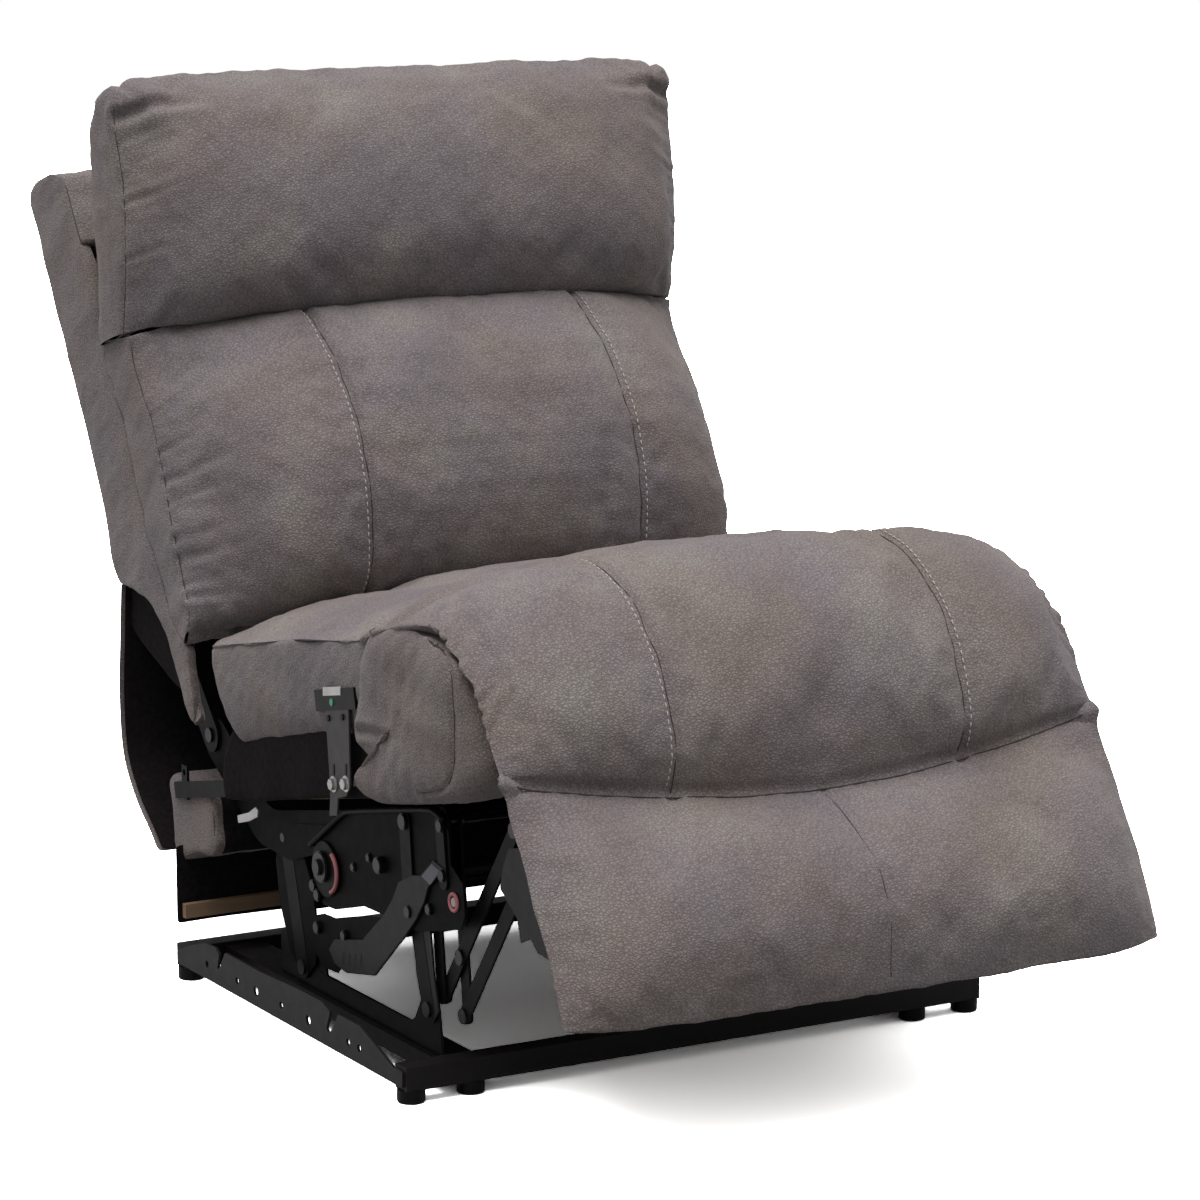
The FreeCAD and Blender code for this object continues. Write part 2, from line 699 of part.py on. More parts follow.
def polar(radius, angle):
    """Point about the footrest pole; the angle is measured up from straight ahead."""
    turn = math.radians(angle)
    return (FOOTREST_POLE[0] - radius * math.cos(turn), FOOTREST_POLE[1] + radius * math.sin(turn))


def chaise_bridge():
    """Soft stretch of the chaise pad that bends as the footrest opens."""
    gap = 0.5
    corners = [
        shifted(polar(PAD_INNER, 90), -gap, 1), polar(PAD_INNER, 58), polar(PAD_INNER, BRIDGE_LOW + gap),
        polar(PAD_OUTER, BRIDGE_LOW + gap),
    ] + BRIDGE_CREST + [(FOOTREST_POLE[0] - gap, PAD_TOP)]
    return slab("chaise_bridge", corners, "2 * Sizes.seat_half_width")


def footrest_pad():
    foot = board_point(BOARD_LENGTH, -size("fit_gap"))
    head = board_point(0, -size("fit_gap"))
    corners = [polar(PAD_INNER, BRIDGE_LOW), polar(PAD_OUTER, BRIDGE_LOW)]
    corners += FOOTREST_FRONT + [foot, head, PAD_BACK]
    return slab("footrest_pad", corners, "2 * Sizes.soft_half_width")


def seat_dust_cover():
    """Black cloth apron along each side rail."""
    outer = size("seat_plate_x") + size("timber")
    near = outer + size("fit_gap")
    apron = tilted_box("apron", -near - size("cloth_gauge"), -near, 0, APRON_FRONT, APRON_LOW, 0)
    return pair("seat_dust_cover", apron)


def rear_rail_arms():
    """Flat bars from the side rails back to the lower rear rail, each with an upright tab."""
    inner = size("seat_plate_x") + size("timber")
    gauge = size("plate_gauge")
    bar = tilted_box("rear_arm_bar", -inner - gauge, -inner, ARM_REAR, -size("fit_gap"), ARM_LOW,
                     ARM_LOW + ARM_DEPTH)
    tab_foot = seat_point(ARM_REAR + 20, ARM_LOW)
    tab = box("rear_arm_tab", (-inner - gauge, tab_foot[0] - 12, tab_foot[1]),
              ("Sizes.plate_gauge", "14", "38"))
    hole = rod("rear_arm_hole", (-inner - gauge - 1, tab_foot[0] - 5, tab_foot[1] + 30), "3.5",
               "Sizes.plate_gauge + 2")
    return pair("rear_rail_arms", cut("rear_rail_arm", fuse("rear_arm_blank", [bar, tab]), hole))


def lower_rear_rail():
    """Upholstered box rail behind the mechanism, recessed for the two arms."""
    block = slab("rear_rail_block", BLOCK_CORNERS, RAIL_WIDTH)
    inner = size("seat_plate_x") + size("timber")
    slot = tilted_box("rear_rail_slot", -inner - 200, -inner + size("fit_gap"), ARM_REAR - 200, 20,
                      ARM_LOW - 200, ARM_LOW + 200)
    slot_right = mirrored(slot, "rear_rail_slot_right")
    trimmed = cut("rear_rail_trim", block, slot)
    return cut("lower_rear_rail", trimmed, slot_right)


def rear_valance():
    """Stiff cloth flap that hangs from the lower rear rail, with its batten."""
    half = size("seat_plate_x") + size("timber") + size("plate_gauge") + RAIL_COVER
    box("rear_valance", (-half, VALANCE_Y, VALANCE_LOW),
        (RAIL_WIDTH, "Sizes.flap_gauge", "%f" % (VALANCE_HIGH - VALANCE_LOW)))
    batten_y = VALANCE_Y - size("batten_gauge") - size("fit_gap")
    box("valance_batten", (-half + BATTEN_INSET, batten_y, VALANCE_LOW + 7),
        ("%s - %f" % (RAIL_WIDTH, 2 * BATTEN_INSET), "Sizes.batten_gauge", "2 * Sizes.batten_gauge"))


# ---------------------------------------------------------------- seat fasteners and washers
def seat_fasteners():
    """Riveted pins of the seat side plates and the bolts into the side rails."""
    parts = []
    outer = size("seat_plate_x")
    for pivot in (FRONT_SWING_TOP, REAR_SWING_TOP):
        parts.append(rivet(pivot, outer, layer_face(SWING) - size("plate_gauge")))
    parts.append(rivet(GUIDE_PIVOT, outer, layer_face(GUIDE) - size("plate_gauge")))
    parts.append(rivet(DRIVE_PIVOT, outer, layer_face(DRIVE) - size("plate_gauge")))
    parts.append(rivet(BACK_PIVOT, outer - size("plate_gauge"), outer + size("plate_gap")
                       + size("plate_gauge")))
    return feature("seat_fasteners", both_sides(parts))


# ---------------------------------------------------------------- switch
def switch_faces():
    """Inner face x of the strip's foot, outer face x of its head, and the rear end of the housing.

    The foot lies on the side rail; the head clears the rail and the cushion, whichever is wider.
    """
    gauge = size("bracket_gauge")
    foot_face = -size("seat_plate_x") - size("timber") - size("cloth_gauge") - 2 * size("fit_gap")
    head_face = min(-size("seat_half_width") - size("fit_gap"), foot_face) - gauge
    rear = SWITCH_AHEAD - (SWITCH_LENGTH - SWITCH_STRIP) / 2 + 6
    return foot_face, head_face, rear


def switch_bracket():
    """Cranked steel strip that carries the switch housing beside the seat."""
    foot_face, head_face, _ = switch_faces()
    gauge = size("bracket_gauge")
    rear = SWITCH_AHEAD
    front = SWITCH_AHEAD + SWITCH_STRIP
    lower = tilted_box("switch_foot", foot_face - gauge, foot_face, rear, front, -86, CRANK)
    joggle = tilted_box("switch_joggle", head_face, foot_face, rear, front, CRANK - gauge, CRANK)
    upper = tilted_box("switch_strip", head_face, head_face + gauge, rear, front, CRANK - gauge, SWITCH_LOW)
    return fuse("switch_bracket", [lower, joggle, upper])


def switch_housing():
    """Box on top of the strip with one well for each button."""
    _, head_face, rear = switch_faces()
    near = head_face + size("bracket_gauge")
    gap = size("fit_gap")
    top = SWITCH_LOW + SWITCH_DEPTH
    shell = tilted_box("switch_shell", near - SWITCH_WIDTH, near, rear, rear + SWITCH_LENGTH,
                       SWITCH_LOW, top)
    edge = near - SWITCH_WIDTH / 2 - BUTTON_WIDTH / 2
    wells = []
    for number in range(len(BUTTON_NAMES)):
        start = rear + BUTTON_EDGE + number * BUTTON_STEP
        wells.append(tilted_box("button_well_%d" % number, edge - gap, edge + BUTTON_WIDTH + gap,
                                start - gap, start + BUTTON_LENGTH + gap, top - BUTTON_DEPTH,
                                top + BUTTON_DEPTH))
    return cut("switch_housing", shell, fuse("button_wells", wells))


def switch_buttons():
    """Push buttons, each with its stroke free below it."""
    _, head_face, rear = switch_faces()
    near = head_face + size("bracket_gauge")
    top = SWITCH_LOW + SWITCH_DEPTH
    edge = near - SWITCH_WIDTH / 2 - BUTTON_WIDTH / 2
    low = top - BUTTON_DEPTH + size("button_travel") + size("fit_gap")
    for number, name in enumerate(BUTTON_NAMES):
        start = rear + BUTTON_EDGE + number * BUTTON_STEP
        tilted_box(name, edge, edge + BUTTON_WIDTH, start, start + BUTTON_LENGTH, low, top + BUTTON_PROUD)


# ---------------------------------------------------------------- drive
def drive_frame():
    """Centre line of the actuator rail: a point on it and its direction, both in YZ."""
    turn = math.radians(size("seat_tilt"))
    foot = shifted(DRIVE_PIVOT, -LUG_REACH * math.sin(turn), -LUG_REACH * math.cos(turn))
    return foot, (-math.cos(turn), math.sin(turn))


def rail_point(distance, up):
    """Point at a distance forward along the actuator rail and up from it."""
    foot, way = drive_frame()
    return (foot[0] + distance * way[0] + up * way[1], foot[1] + distance * way[1] - up * way[0])


def seat_tube_centre():
    """Cross tube of the seat subframe, straight above the motor."""
    below = rail_point(MOTOR_FRONT - MOTOR_LENGTH / 2, 0)
    return shifted(below, 8, 82)


def tight_tube_hole(point):
    """Hole that the seat cross tube fills."""
    return (point[0], point[1], "Sizes.cross_tube_radius", size("cross_tube_radius"))


def rail_box(label, half_x, start, end, low, high):
    """Box along the actuator rail, centred on the middle plane."""
    corner = rail_point(end, low)
    extent = ("%f" % (2 * half_x), "%f" % (end - start), "%f" % (high - low))
    return box(label, (-half_x, corner[0], corner[1]), extent, -size("seat_tilt"))


def actuator():
    """Fixed rail with the motor at its rear end and the carriage that runs on it."""
    half = RAIL_HALF
    gap = size("fit_gap")
    motor_rear = MOTOR_FRONT - MOTOR_LENGTH
    motor_middle = MOTOR_FRONT - MOTOR_LENGTH / 2
    rail_box("actuator_rail", half, MOTOR_FRONT, 92, -half, half)
    slope = math.radians(size("seat_tilt"))
    case = rail_box("motor_case", 30, motor_rear, MOTOR_FRONT, -24, 30)
    can_start = rail_point(motor_middle, 3)
    can = rod("motor_can", (28, can_start[0], can_start[1]), "24", "78")
    inlet_spot = rail_point(motor_rear + 1, 12)
    inlet = rod("motor_inlet", (-14, inlet_spot[0], inlet_spot[1]), "7", "12",
                V(0, math.cos(slope), -math.sin(slope)))
    tube = seat_tube_centre()
    ear_start = rail_point(motor_middle, 28)
    ear_edges = strap_edges([ear_start, tube], 14.0)
    ear = profile_body("motor_ear", ear_edges, [tight_tube_hole(tube)], "10", "-5")
    fuse("actuator_motor", [case, can, inlet, ear])
    blank = rail_box("carriage_blank", half + 4, CARRIAGE_REST - 22, CARRIAGE_REST + 22, -half - 8, half + 8)
    way_through = rail_box("carriage_way", half + gap, CARRIAGE_REST - 40, CARRIAGE_REST + 40,
                           -half - gap, half + gap)
    stubs = []
    spot = rail_point(CARRIAGE_REST, 0)
    for side in (-1, 1):
        stubs.append(rod("carriage_stub_%d" % (side + 1), (side * (half + 3), spot[0], spot[1]),
                         "Sizes.pin_radius", "10", V(side, 0, 0)))
    carriage = cut("carriage_body", blank, way_through)
    return fuse("actuator_carriage", [carriage] + stubs)


def drive_links():
    """Long links on the seat pivots, tied by the cross tube that the carriage drives."""
    half = size("bar_half_width")
    holes = [pin_hole(DRIVE_PIVOT), tight_hole(ELBOW), tight_hole(KNEE)]
    link = linkage_plate("drive_link", strap_edges([DRIVE_PIVOT, KNEE], half), holes, DRIVE)
    return pair("footrest_drive_links", link)


def tube_centre():
    """Centre of the footrest cross tube on the drive links."""
    return along(DRIVE_PIVOT, KNEE, TUBE_SHARE)


def footrest_cross_tube():
    """Cross tube with two slotted lugs for the carriage's stub pins."""
    centre = tube_centre()
    inner = layer_face(DRIVE) - size("plate_gauge")
    tube = rod("cross_tube_body", (-inner, centre[0], centre[1]), "Sizes.cross_tube_radius",
               "2 * %f" % inner)
    reach = math.radians(MID_OPENING)
    turn = math.radians(size("seat_tilt"))
    way = (-math.sin(turn - reach), -math.cos(turn - reach))
    near = shifted(DRIVE_PIVOT, way[0] * (LUG_REACH - 4), way[1] * (LUG_REACH - 4))
    far = shifted(DRIVE_PIVOT, way[0] * LUG_REACH * 1.38, way[1] * LUG_REACH * 1.38)
    slot_half = size("pin_radius") + 4.0
    lug_half = slot_half + 5.0
    lugs = []
    for side, x_formula in (("left", "-17"), ("right", "14")):
        edges = strap_edges([centre, far], lug_half)
        lug = profile_body("drive_lug_" + side, edges, [], "3", x_formula)
        slot = side_sketch(lug, "drive_slot_" + side)
        slot.addGeometry(strap_edges([near, far], slot_half), False)
        pocket = lug.newObject("PartDesign::Pocket", "drive_pocket_" + side)
        pocket.Profile = slot
        pocket.Type = "ThroughAll"
        pocket.Midplane = True
        slot.Visibility = False
        lugs.append(lug)
    return fuse("footrest_cross_tube", [tube] + lugs)


def guide_link():
    """Guide link with its riveted pin, which the upper bar turns on."""
    half = size("bar_half_width")
    link = linkage_plate("guide_strap", strap_edges([GUIDE_PIVOT, GUIDE_ELBOW], half),
                         [pin_hole(GUIDE_PIVOT), tight_hole(GUIDE_ELBOW)], GUIDE)
    pin = rivet(GUIDE_ELBOW, layer_face(GUIDE), layer_face(BARS) - size("plate_gauge"))
    return group("footrest_guide_left", [link, feature("guide_pin", pin)])


def upper_bar():
    half = size("bar_half_width")
    holes = [pin_hole(point) for point in (GUIDE_ELBOW, ELBOW, REST_UPPER)]
    edges = strap_edges([GUIDE_ELBOW, REST_UPPER], half)
    return linkage_plate("footrest_upper_bar_left", edges, holes, BARS)


def lower_bar():
    half = size("bar_half_width")
    holes = [pin_hole(point) for point in (KNEE, REST_LOWER)]
    edges = strap_edges([KNEE, REST_LOWER], half)
    return linkage_plate("footrest_lower_bar_left", edges, holes, BARS)


def drive_pins():
    """Riveted pins of the drive links, for the two bars."""
    inner = layer_face(DRIVE) - size("plate_gauge")
    parts = [rivet(point, inner, layer_face(BARS)) for point in (ELBOW, KNEE)]
    return feature("footrest_drive_pins", both_sides(parts))


# ---------------------------------------------------------------- footrest
def footrest_board():
    corner = board_point(BOARD_LENGTH, 0)
    half = size("soft_half_width") - 40
    return box("footrest_board", (-half, corner[0], corner[1]),
               ("2 * (Sizes.soft_half_width - 40)", "Sizes.board_gauge", "%f" % BOARD_LENGTH),
               -size("board_tilt"))


def footrest_brackets():
    """Angle on each side of the board with the two pivots of the bars."""
    behind = size("board_gauge")
    top = board_point(BRACKET_TOP, behind)
    foot = board_point(BRACKET_TOP + BRACKET_LENGTH, behind)
    corners = [
        top, shifted(REST_UPPER, -2, 13) + (11,), shifted(REST_UPPER, 13, 6) + (8,),
        shifted(REST_LOWER, 13, -4) + (10,), shifted(REST_LOWER, 2, -14) + (10,), foot,
    ]
    holes = [tight_hole(REST_UPPER), tight_hole(REST_LOWER)]
    web = linkage_plate("footrest_bracket_web", rounded_edges(corners), holes, DRIVE)
    flange = box("footrest_bracket_flange", (-layer_face(DRIVE), foot[0], foot[1]),
                 ("26", "Sizes.plate_gauge", "%f" % BRACKET_LENGTH), -size("board_tilt"))
    return pair("footrest_brackets", fuse("footrest_bracket", [web, flange]))


def footrest_pins():
    """Riveted pins of the footrest brackets."""
    inner = layer_face(DRIVE) - size("plate_gauge")
    parts = [rivet(point, inner, layer_face(BARS)) for point in (REST_UPPER, REST_LOWER)]
    return feature("footrest_pins", both_sides(parts))


# ---------------------------------------------------------------- back
def back_shell():
    """Outer shell of the back: two side panels, rear panel and rolled top."""
    corners = SHELL_FOOT + BACK_SEAM + SHELL_TOP + SHELL_REAR + SHELL_HEM
    shell = slab("back_shell", corners, "2 * Sizes.soft_half_width")
    cavity = SHELL_HOLLOW + [back_point(0, 12)] + SHELL_HOLLOW_FOOT
    sketch = side_sketch(shell, "back_cavity")
    sketch.addGeometry(rounded_edges(cavity), False)
    pocket = shell.newObject("PartDesign::Pocket", "back_pocket")
    pocket.Profile = sketch
    pocket.Midplane = True
    pocket.setExpression("Length", "2 * (Sizes.seat_plate_x + Sizes.timber + 8 * Sizes.plate_gap)")
    sketch.Visibility = False
    return shell


def lumbar_cushion():
    rear = [shifted(point, -size("fit_gap"), size("fit_gap")) for point in reversed(BACK_SEAM[:4])]
    return slab("lumbar_cushion", LUMBAR_FRONT + rear, "2 * Sizes.soft_half_width")


def back_box(label, x_low, x_high, up_low, up_high, ahead_low, ahead_high):
    """Box laid in the slope of the back."""
    corner = back_point(up_low, ahead_high)
    extent = ("%f" % (x_high - x_low), "%f" % (ahead_high - ahead_low), "%f" % (up_high - up_low))
    return box(label, (x_low, corner[0], corner[1]), extent, -size("back_tilt"))


def back_frame():
    """Timber posts and cross rails of the back."""
    inner = size("seat_plate_x") + size("plate_gap") + size("plate_gauge")
    outer = inner + size("timber")
    post = back_box("back_post", -outer, -inner, POST_LOW, POST_HIGH, POST_REAR, POST_REAR + POST_DEEP)
    pair("back_posts", post)
    reach = size("seat_plate_x") + size("plate_gap")
    rails = []
    for number, up in enumerate((0, TOP_RAIL_LOW)):
        rails.append(back_box("back_rail_%d" % number, -reach, reach, up, up + BACK_RAIL_DEPTH, POST_REAR,
                              POST_REAR + size("timber")))
    return group("back_cross_rails", rails)


def back_springs():
    start = back_point(12, POST_REAR + size("timber") + size("wire_radius"))
    return spring_set("back_springs", 4, size("back_spring_span"), TOP_RAIL_LOW + 26, start,
                      90 - size("back_tilt"))


def back_brackets():
    """Steel plates from the recline pivots up the posts."""
    low = back_point(POST_LOW, POST_REAR + POST_DEEP / 2)
    high = back_point(80, POST_REAR + POST_DEEP / 2)
    edges = strap_edges([BACK_PIVOT, low, high], 19.0)
    x_formula = "-(Sizes.seat_plate_x + Sizes.plate_gap + Sizes.plate_gauge)"
    bracket = profile_body("back_bracket", edges, [pin_hole(BACK_PIVOT)], "Sizes.plate_gauge", x_formula)
    return pair("back_brackets", bracket)


def softened(line):
    """The same line with its bends rounded, apart from its two ends and the tight one at its foot."""
    return [line[0]] + [point + (40,) for point in line[1:5]] + line[5:]


def rear_skirt():
    """Cloth panel from the foot of the back down to the lower rear rail."""
    thick = size("flap_gauge")
    inner = [(y - thick, z + 1) for y, z in SKIRT_LINE]
    corners = softened(SKIRT_LINE) + list(reversed(softened(inner)))
    return slab("rear_skirt", corners, RAIL_WIDTH)


# ---------------------------------------------------------------- headrest
def headrest_hinges():
    """Steel ears on the top back rail with the headrest's pivot pins."""
    rail = back_point(TOP_RAIL_LOW + BACK_RAIL_DEPTH / 2, POST_REAR + size("timber"))
    outline = strap_edges([HEAD_PIVOT, rail], 9.0)
    plate = profile_body("headrest_ear", outline, [tight_hole(HEAD_PIVOT)], "Sizes.plate_gauge",
                         "-%f - Sizes.plate_gauge" % HINGE_X)
    trim = back_box("headrest_ear_trim", -HINGE_X - 20, -HINGE_X + 20, 200, 500, -40,
                    POST_REAR + size("timber"))
    ear = cut("headrest_ear_cut", plate, trim)
    gauge = size("plate_gauge")
    pin = rivet(HEAD_PIVOT, HINGE_X + gauge, HINGE_X - size("plate_gap") - gauge)
    pins = feature("headrest_hinge_pins", both_sides([pin]))
    return group("headrest_hinges", [ear, mirrored(ear, "headrest_ear_right"), pins])


def headrest_levers():
    """Steel levers on the headrest board: pivot eyes, and a slotted centre lever for the rod."""
    edges = strap_edges([HEAD_PIVOT, shifted(HEAD_PIVOT, 19, 30), shifted(HEAD_PIVOT, 20.2, 64)], 9.0)
    eye = profile_body("headrest_eye", edges, [pin_hole(HEAD_PIVOT)], "Sizes.plate_gauge",
                       "-%f + Sizes.plate_gap" % HINGE_X)
    return group("headrest_levers", [eye, mirrored(eye, "headrest_eye_right"), headrest_drive_lever()])


def headrest_board():
    """Plywood board behind the head cushion, with the slotted lever that the rod drives."""
    gauge = HEAD_BOARD_GAUGE
    corners = [
        shifted(HEAD_BOARD_FOOT, -gauge, 1), shifted(HEAD_BOARD_TOP, -gauge, 1), HEAD_BOARD_TOP,
        HEAD_BOARD_FOOT,
    ]
    return slab("headrest_board", corners, "2 * (Sizes.seat_half_width - 40)")


def headrest_drive_lever():
    """Lever from the board down to the actuator rod."""
    spot = shifted(HEAD_PIVOT, LEVER_ARM, 0)
    corners = [
        HEAD_BOARD_FOOT, along(HEAD_BOARD_FOOT, HEAD_BOARD_TOP, 0.2),
        (spot[0] + 14, spot[1] + 12, 10), (spot[0] + 14, spot[1] - 12, 10), (spot[0] - 14, spot[1] - 12, 10),
    ]
    lever = profile_body("headrest_drive_lever", rounded_edges(corners), [], "6", "-3")
    slot = side_sketch(lever, "headrest_slot")
    turn = math.radians(size("back_tilt"))
    reach = 3.0
    ends = [shifted(spot, -reach * math.cos(turn), reach * math.sin(turn)),
            shifted(spot, reach * math.cos(turn), -reach * math.sin(turn))]
    slot.addGeometry(strap_edges(ends, 5.2), False)
    pocket = lever.newObject("PartDesign::Pocket", "headrest_slot_pocket")
    pocket.Profile = slot
    pocket.Type = "ThroughAll"
    pocket.Midplane = True
    slot.Visibility = False
    return lever


def headrest_actuator():
    """Small actuator between the bottom back rail and the headrest lever."""
    turn = math.radians(size("back_tilt"))
    way = V(0, math.sin(turn), math.cos(turn))
    tip = V(0, HEAD_PIVOT[0] + LEVER_ARM, HEAD_PIVOT[1])
    foot = tip - way * HEAD_DRIVE_LENGTH
    outer = rod("head_actuator_case", (0, foot.y, foot.z), "14", "200", way)
    bore_start = foot + way * 60
    bore = rod("head_actuator_bore", (0, bore_start.y, bore_start.z), "6 + Sizes.pin_clearance", "200", way)
    cut("headrest_actuator", outer, bore)
    rod_start = foot + way * 90
    fork_foot = tip - way * 25
    stem_length = HEAD_DRIVE_LENGTH - 90 - 21
    stem = rod("head_rod_stem", (0, rod_start.y, rod_start.z), "6", "%f" % stem_length, way)
    fork_turn = -size("back_tilt")
    side = V(0, math.cos(turn), -math.sin(turn))
    corner = fork_foot - side * 7
    fork_base = box("head_rod_fork_base", (-8, corner.y, corner.z), ("16", "14", "4"), fork_turn)
    cheeks = []
    for number, x in enumerate((-8, 3.6)):
        cheeks.append(box("head_rod_cheek_%d" % number, (x, corner.y, corner.z), ("4.4", "14", "32"),
                          fork_turn))
    pin = rod("head_rod_pin", (-8, tip.y, tip.z), "3.5", "16")
    return fuse("headrest_rod", [stem, fork_base, pin] + cheeks)


def head_cushion():
    gauge = HEAD_BOARD_GAUGE + size("fit_gap")
    corners = HEAD_FRONT + [
        shifted(HEAD_BOARD_TOP, 1, 1.5), shifted(HEAD_BOARD_TOP, -gauge, 1.5),
        shifted(HEAD_BOARD_FOOT, -gauge, 1), HEAD_BASE,
    ]
    return slab("head_cushion", corners, "2 * Sizes.soft_half_width")


# ---------------------------------------------------------------- assembly
def build_base():
    foot_glides()
    base_tube("base_front_tube", "front_tube_y")
    base_tube("base_rear_tube", "rear_tube_y")
    base_rails()
    base_stands()
    left = arm_bracket()
    mirrored(left, "arm_bracket_right")
    base_fasteners()


def build_swing():
    rear = swing_link("rear_swing_link", REAR_SWING_FOOT, REAR_SWING_TOP)
    pair("rear_swing_links", rear)
    swing_torque_tube()
    front = swing_link("front_swing_link_left", FRONT_SWING_FOOT, FRONT_SWING_TOP)
    mirrored(front, "front_swing_link_right")


def build_seat():
    plate = seat_plate()
    centre = seat_tube_centre()
    inner = size("seat_plate_x") - size("plate_gauge")
    tube = rod("seat_cross_tube", (-inner, centre[0], centre[1]), "Sizes.cross_tube_radius",
               "2 * %f" % inner)
    group("seat_plates", [plate, mirrored(plate, "seat_plate_right"), tube])
    group("seat_cross_rails", seat_rails())
    seat_springs()
    seat_cushion()
    seat_top_pad()
    chaise_bridge()
    seat_dust_cover()
    rear_rail_arms()
    lower_rear_rail()
    rear_valance()
    seat_fasteners()
    switch_bracket()
    switch_housing()
    switch_buttons()
    actuator()


def build_footrest():
    drive_links()
    footrest_cross_tube()
    drive_pins()
    guide = guide_link()
    mirrored(guide, "footrest_guide_right")
    upper = upper_bar()
    mirrored(upper, "footrest_upper_bar_right")
    lower = lower_bar()
    mirrored(lower, "footrest_lower_bar_right")
    footrest_board()
    footrest_brackets()
    footrest_pins()
    footrest_pad()


def build_back():
    back_shell()
    lumbar_cushion()
    back_frame()
    back_springs()
    back_brackets()
    rear_skirt()
    headrest_hinges()
    headrest_levers()
    headrest_board()
    headrest_actuator()
    head_cushion()


NODES = [
    "foot_glides", "base_front_tube", "base_rear_tube", "base_rails", "base_stands", "arm_bracket_left",
    "arm_bracket_right", "base_fasteners", "rear_swing_links", "swing_torque_tube", "front_swing_link_left",
    "front_swing_link_right", "seat_plates", "seat_side_rails", "seat_cross_rails", "seat_springs",
    "seat_cushion", "seat_top_pad", "chaise_bridge", "seat_dust_cover", "rear_rail_arms",
    "lower_rear_rail", "rear_valance", "valance_batten", "seat_fasteners", "switch_bracket",
    "switch_housing", "actuator_rail", "actuator_motor", "actuator_carriage", "footrest_drive_links",
    "footrest_cross_tube", "footrest_drive_pins", "footrest_guide_left", "footrest_guide_right",
    "footrest_upper_bar_left", "footrest_upper_bar_right", "footrest_lower_bar_left",
    "footrest_lower_bar_right", "footrest_board", "footrest_brackets", "footrest_pins", "footrest_pad",
    "back_shell", "lumbar_cushion", "back_posts", "back_cross_rails", "back_springs", "back_brackets",
    "rear_skirt", "headrest_hinges", "headrest_levers", "headrest_board", "headrest_actuator",
    "headrest_rod", "head_cushion",
] + list(BUTTON_NAMES)


def export_nodes():
    """Check every object and write one STEP file per node."""
    for item in doc.Objects:
        if "Invalid" in item.State or "Error" in item.State:
            raise RuntimeError("failed object: " + item.Label)
    os.makedirs("parts", exist_ok=True)
    by_label = {item.Label: item for item in doc.Objects}
    for label in NODES:
        shape = by_label[label].Shape
        if shape.isNull() or not shape.isValid():
            raise RuntimeError("bad shape: " + label)
        shape.exportStep(os.path.join("parts", label + ".step"))


build_base()
build_swing()
build_seat()
build_footrest()
build_back()
doc.recompute()
export_nodes()
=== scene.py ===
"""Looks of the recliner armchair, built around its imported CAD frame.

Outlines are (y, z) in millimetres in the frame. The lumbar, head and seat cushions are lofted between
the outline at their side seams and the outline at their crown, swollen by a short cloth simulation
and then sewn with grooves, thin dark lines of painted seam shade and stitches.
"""
import json
import math

import bmesh
import bpy
import numpy as np
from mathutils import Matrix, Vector
from mathutils.bvhtree import BVHTree
from mathutils.kdtree import KDTree


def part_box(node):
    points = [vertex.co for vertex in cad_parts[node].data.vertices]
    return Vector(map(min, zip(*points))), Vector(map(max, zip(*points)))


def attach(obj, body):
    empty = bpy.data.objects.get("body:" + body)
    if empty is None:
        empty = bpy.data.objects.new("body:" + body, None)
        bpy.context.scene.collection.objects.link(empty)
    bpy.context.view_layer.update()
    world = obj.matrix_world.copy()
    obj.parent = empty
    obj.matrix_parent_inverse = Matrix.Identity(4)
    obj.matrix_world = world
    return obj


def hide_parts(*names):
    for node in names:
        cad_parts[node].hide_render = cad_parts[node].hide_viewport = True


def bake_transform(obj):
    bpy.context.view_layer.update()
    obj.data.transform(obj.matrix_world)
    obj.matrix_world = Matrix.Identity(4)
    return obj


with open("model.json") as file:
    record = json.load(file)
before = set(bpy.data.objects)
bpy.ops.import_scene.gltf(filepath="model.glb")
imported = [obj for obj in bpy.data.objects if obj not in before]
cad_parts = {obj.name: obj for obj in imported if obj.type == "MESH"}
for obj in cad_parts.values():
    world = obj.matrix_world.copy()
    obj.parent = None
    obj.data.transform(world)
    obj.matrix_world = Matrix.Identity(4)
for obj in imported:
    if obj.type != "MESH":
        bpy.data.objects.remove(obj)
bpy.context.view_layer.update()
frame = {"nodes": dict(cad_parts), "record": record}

MM = 0.001
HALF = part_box("lumbar_cushion")[1][0]          # half width of back, head and footrest
STITCH_X = 0.168                               # topstitched seams each side of the middle
GRID = 0.008                                   # mesh spacing of soft pieces
SIDES = (-1, 1)                                # left and right
WHITE = (1, 1, 1, 1)
FINISH = {}                                    # every material, by its name


# ---------------------------------------------------------------- camera, light and floor
CAMERA_PLACE = (-2.2928, -4.0889, 1.3272)
CAMERA_PITCH, CAMERA_YAW = 90 - 10.762, -29.716    # degrees
LAMP_FROM = (-0.17, -0.15, 0.97)
FLOOR_REACH = 12.0


def add_object(name, data):
    thing = bpy.data.objects.new(name, data)
    bpy.context.scene.collection.objects.link(thing)
    return thing


def new_mesh(name, points, faces):
    mesh = bpy.data.meshes.new(name)
    mesh.from_pydata(points, [], faces)
    return mesh


def make_camera():
    data = bpy.data.cameras.new("camera")
    data.lens = 132.8
    data.sensor_width = 36
    data.clip_end = 50
    camera = add_object("camera", data)
    camera.location = CAMERA_PLACE
    camera.rotation_euler = (math.radians(CAMERA_PITCH), 0, math.radians(CAMERA_YAW))
    bpy.context.scene.camera = camera


def make_lamp():
    """Large soft lamp far overhead."""
    data = bpy.data.lights.new("overhead", "SUN")
    data.energy = 2.6
    data.angle = math.radians(50)
    lamp = add_object("overhead", data)
    lamp.rotation_euler = (-Vector(LAMP_FROM)).to_track_quat("-Z", "Y").to_euler()


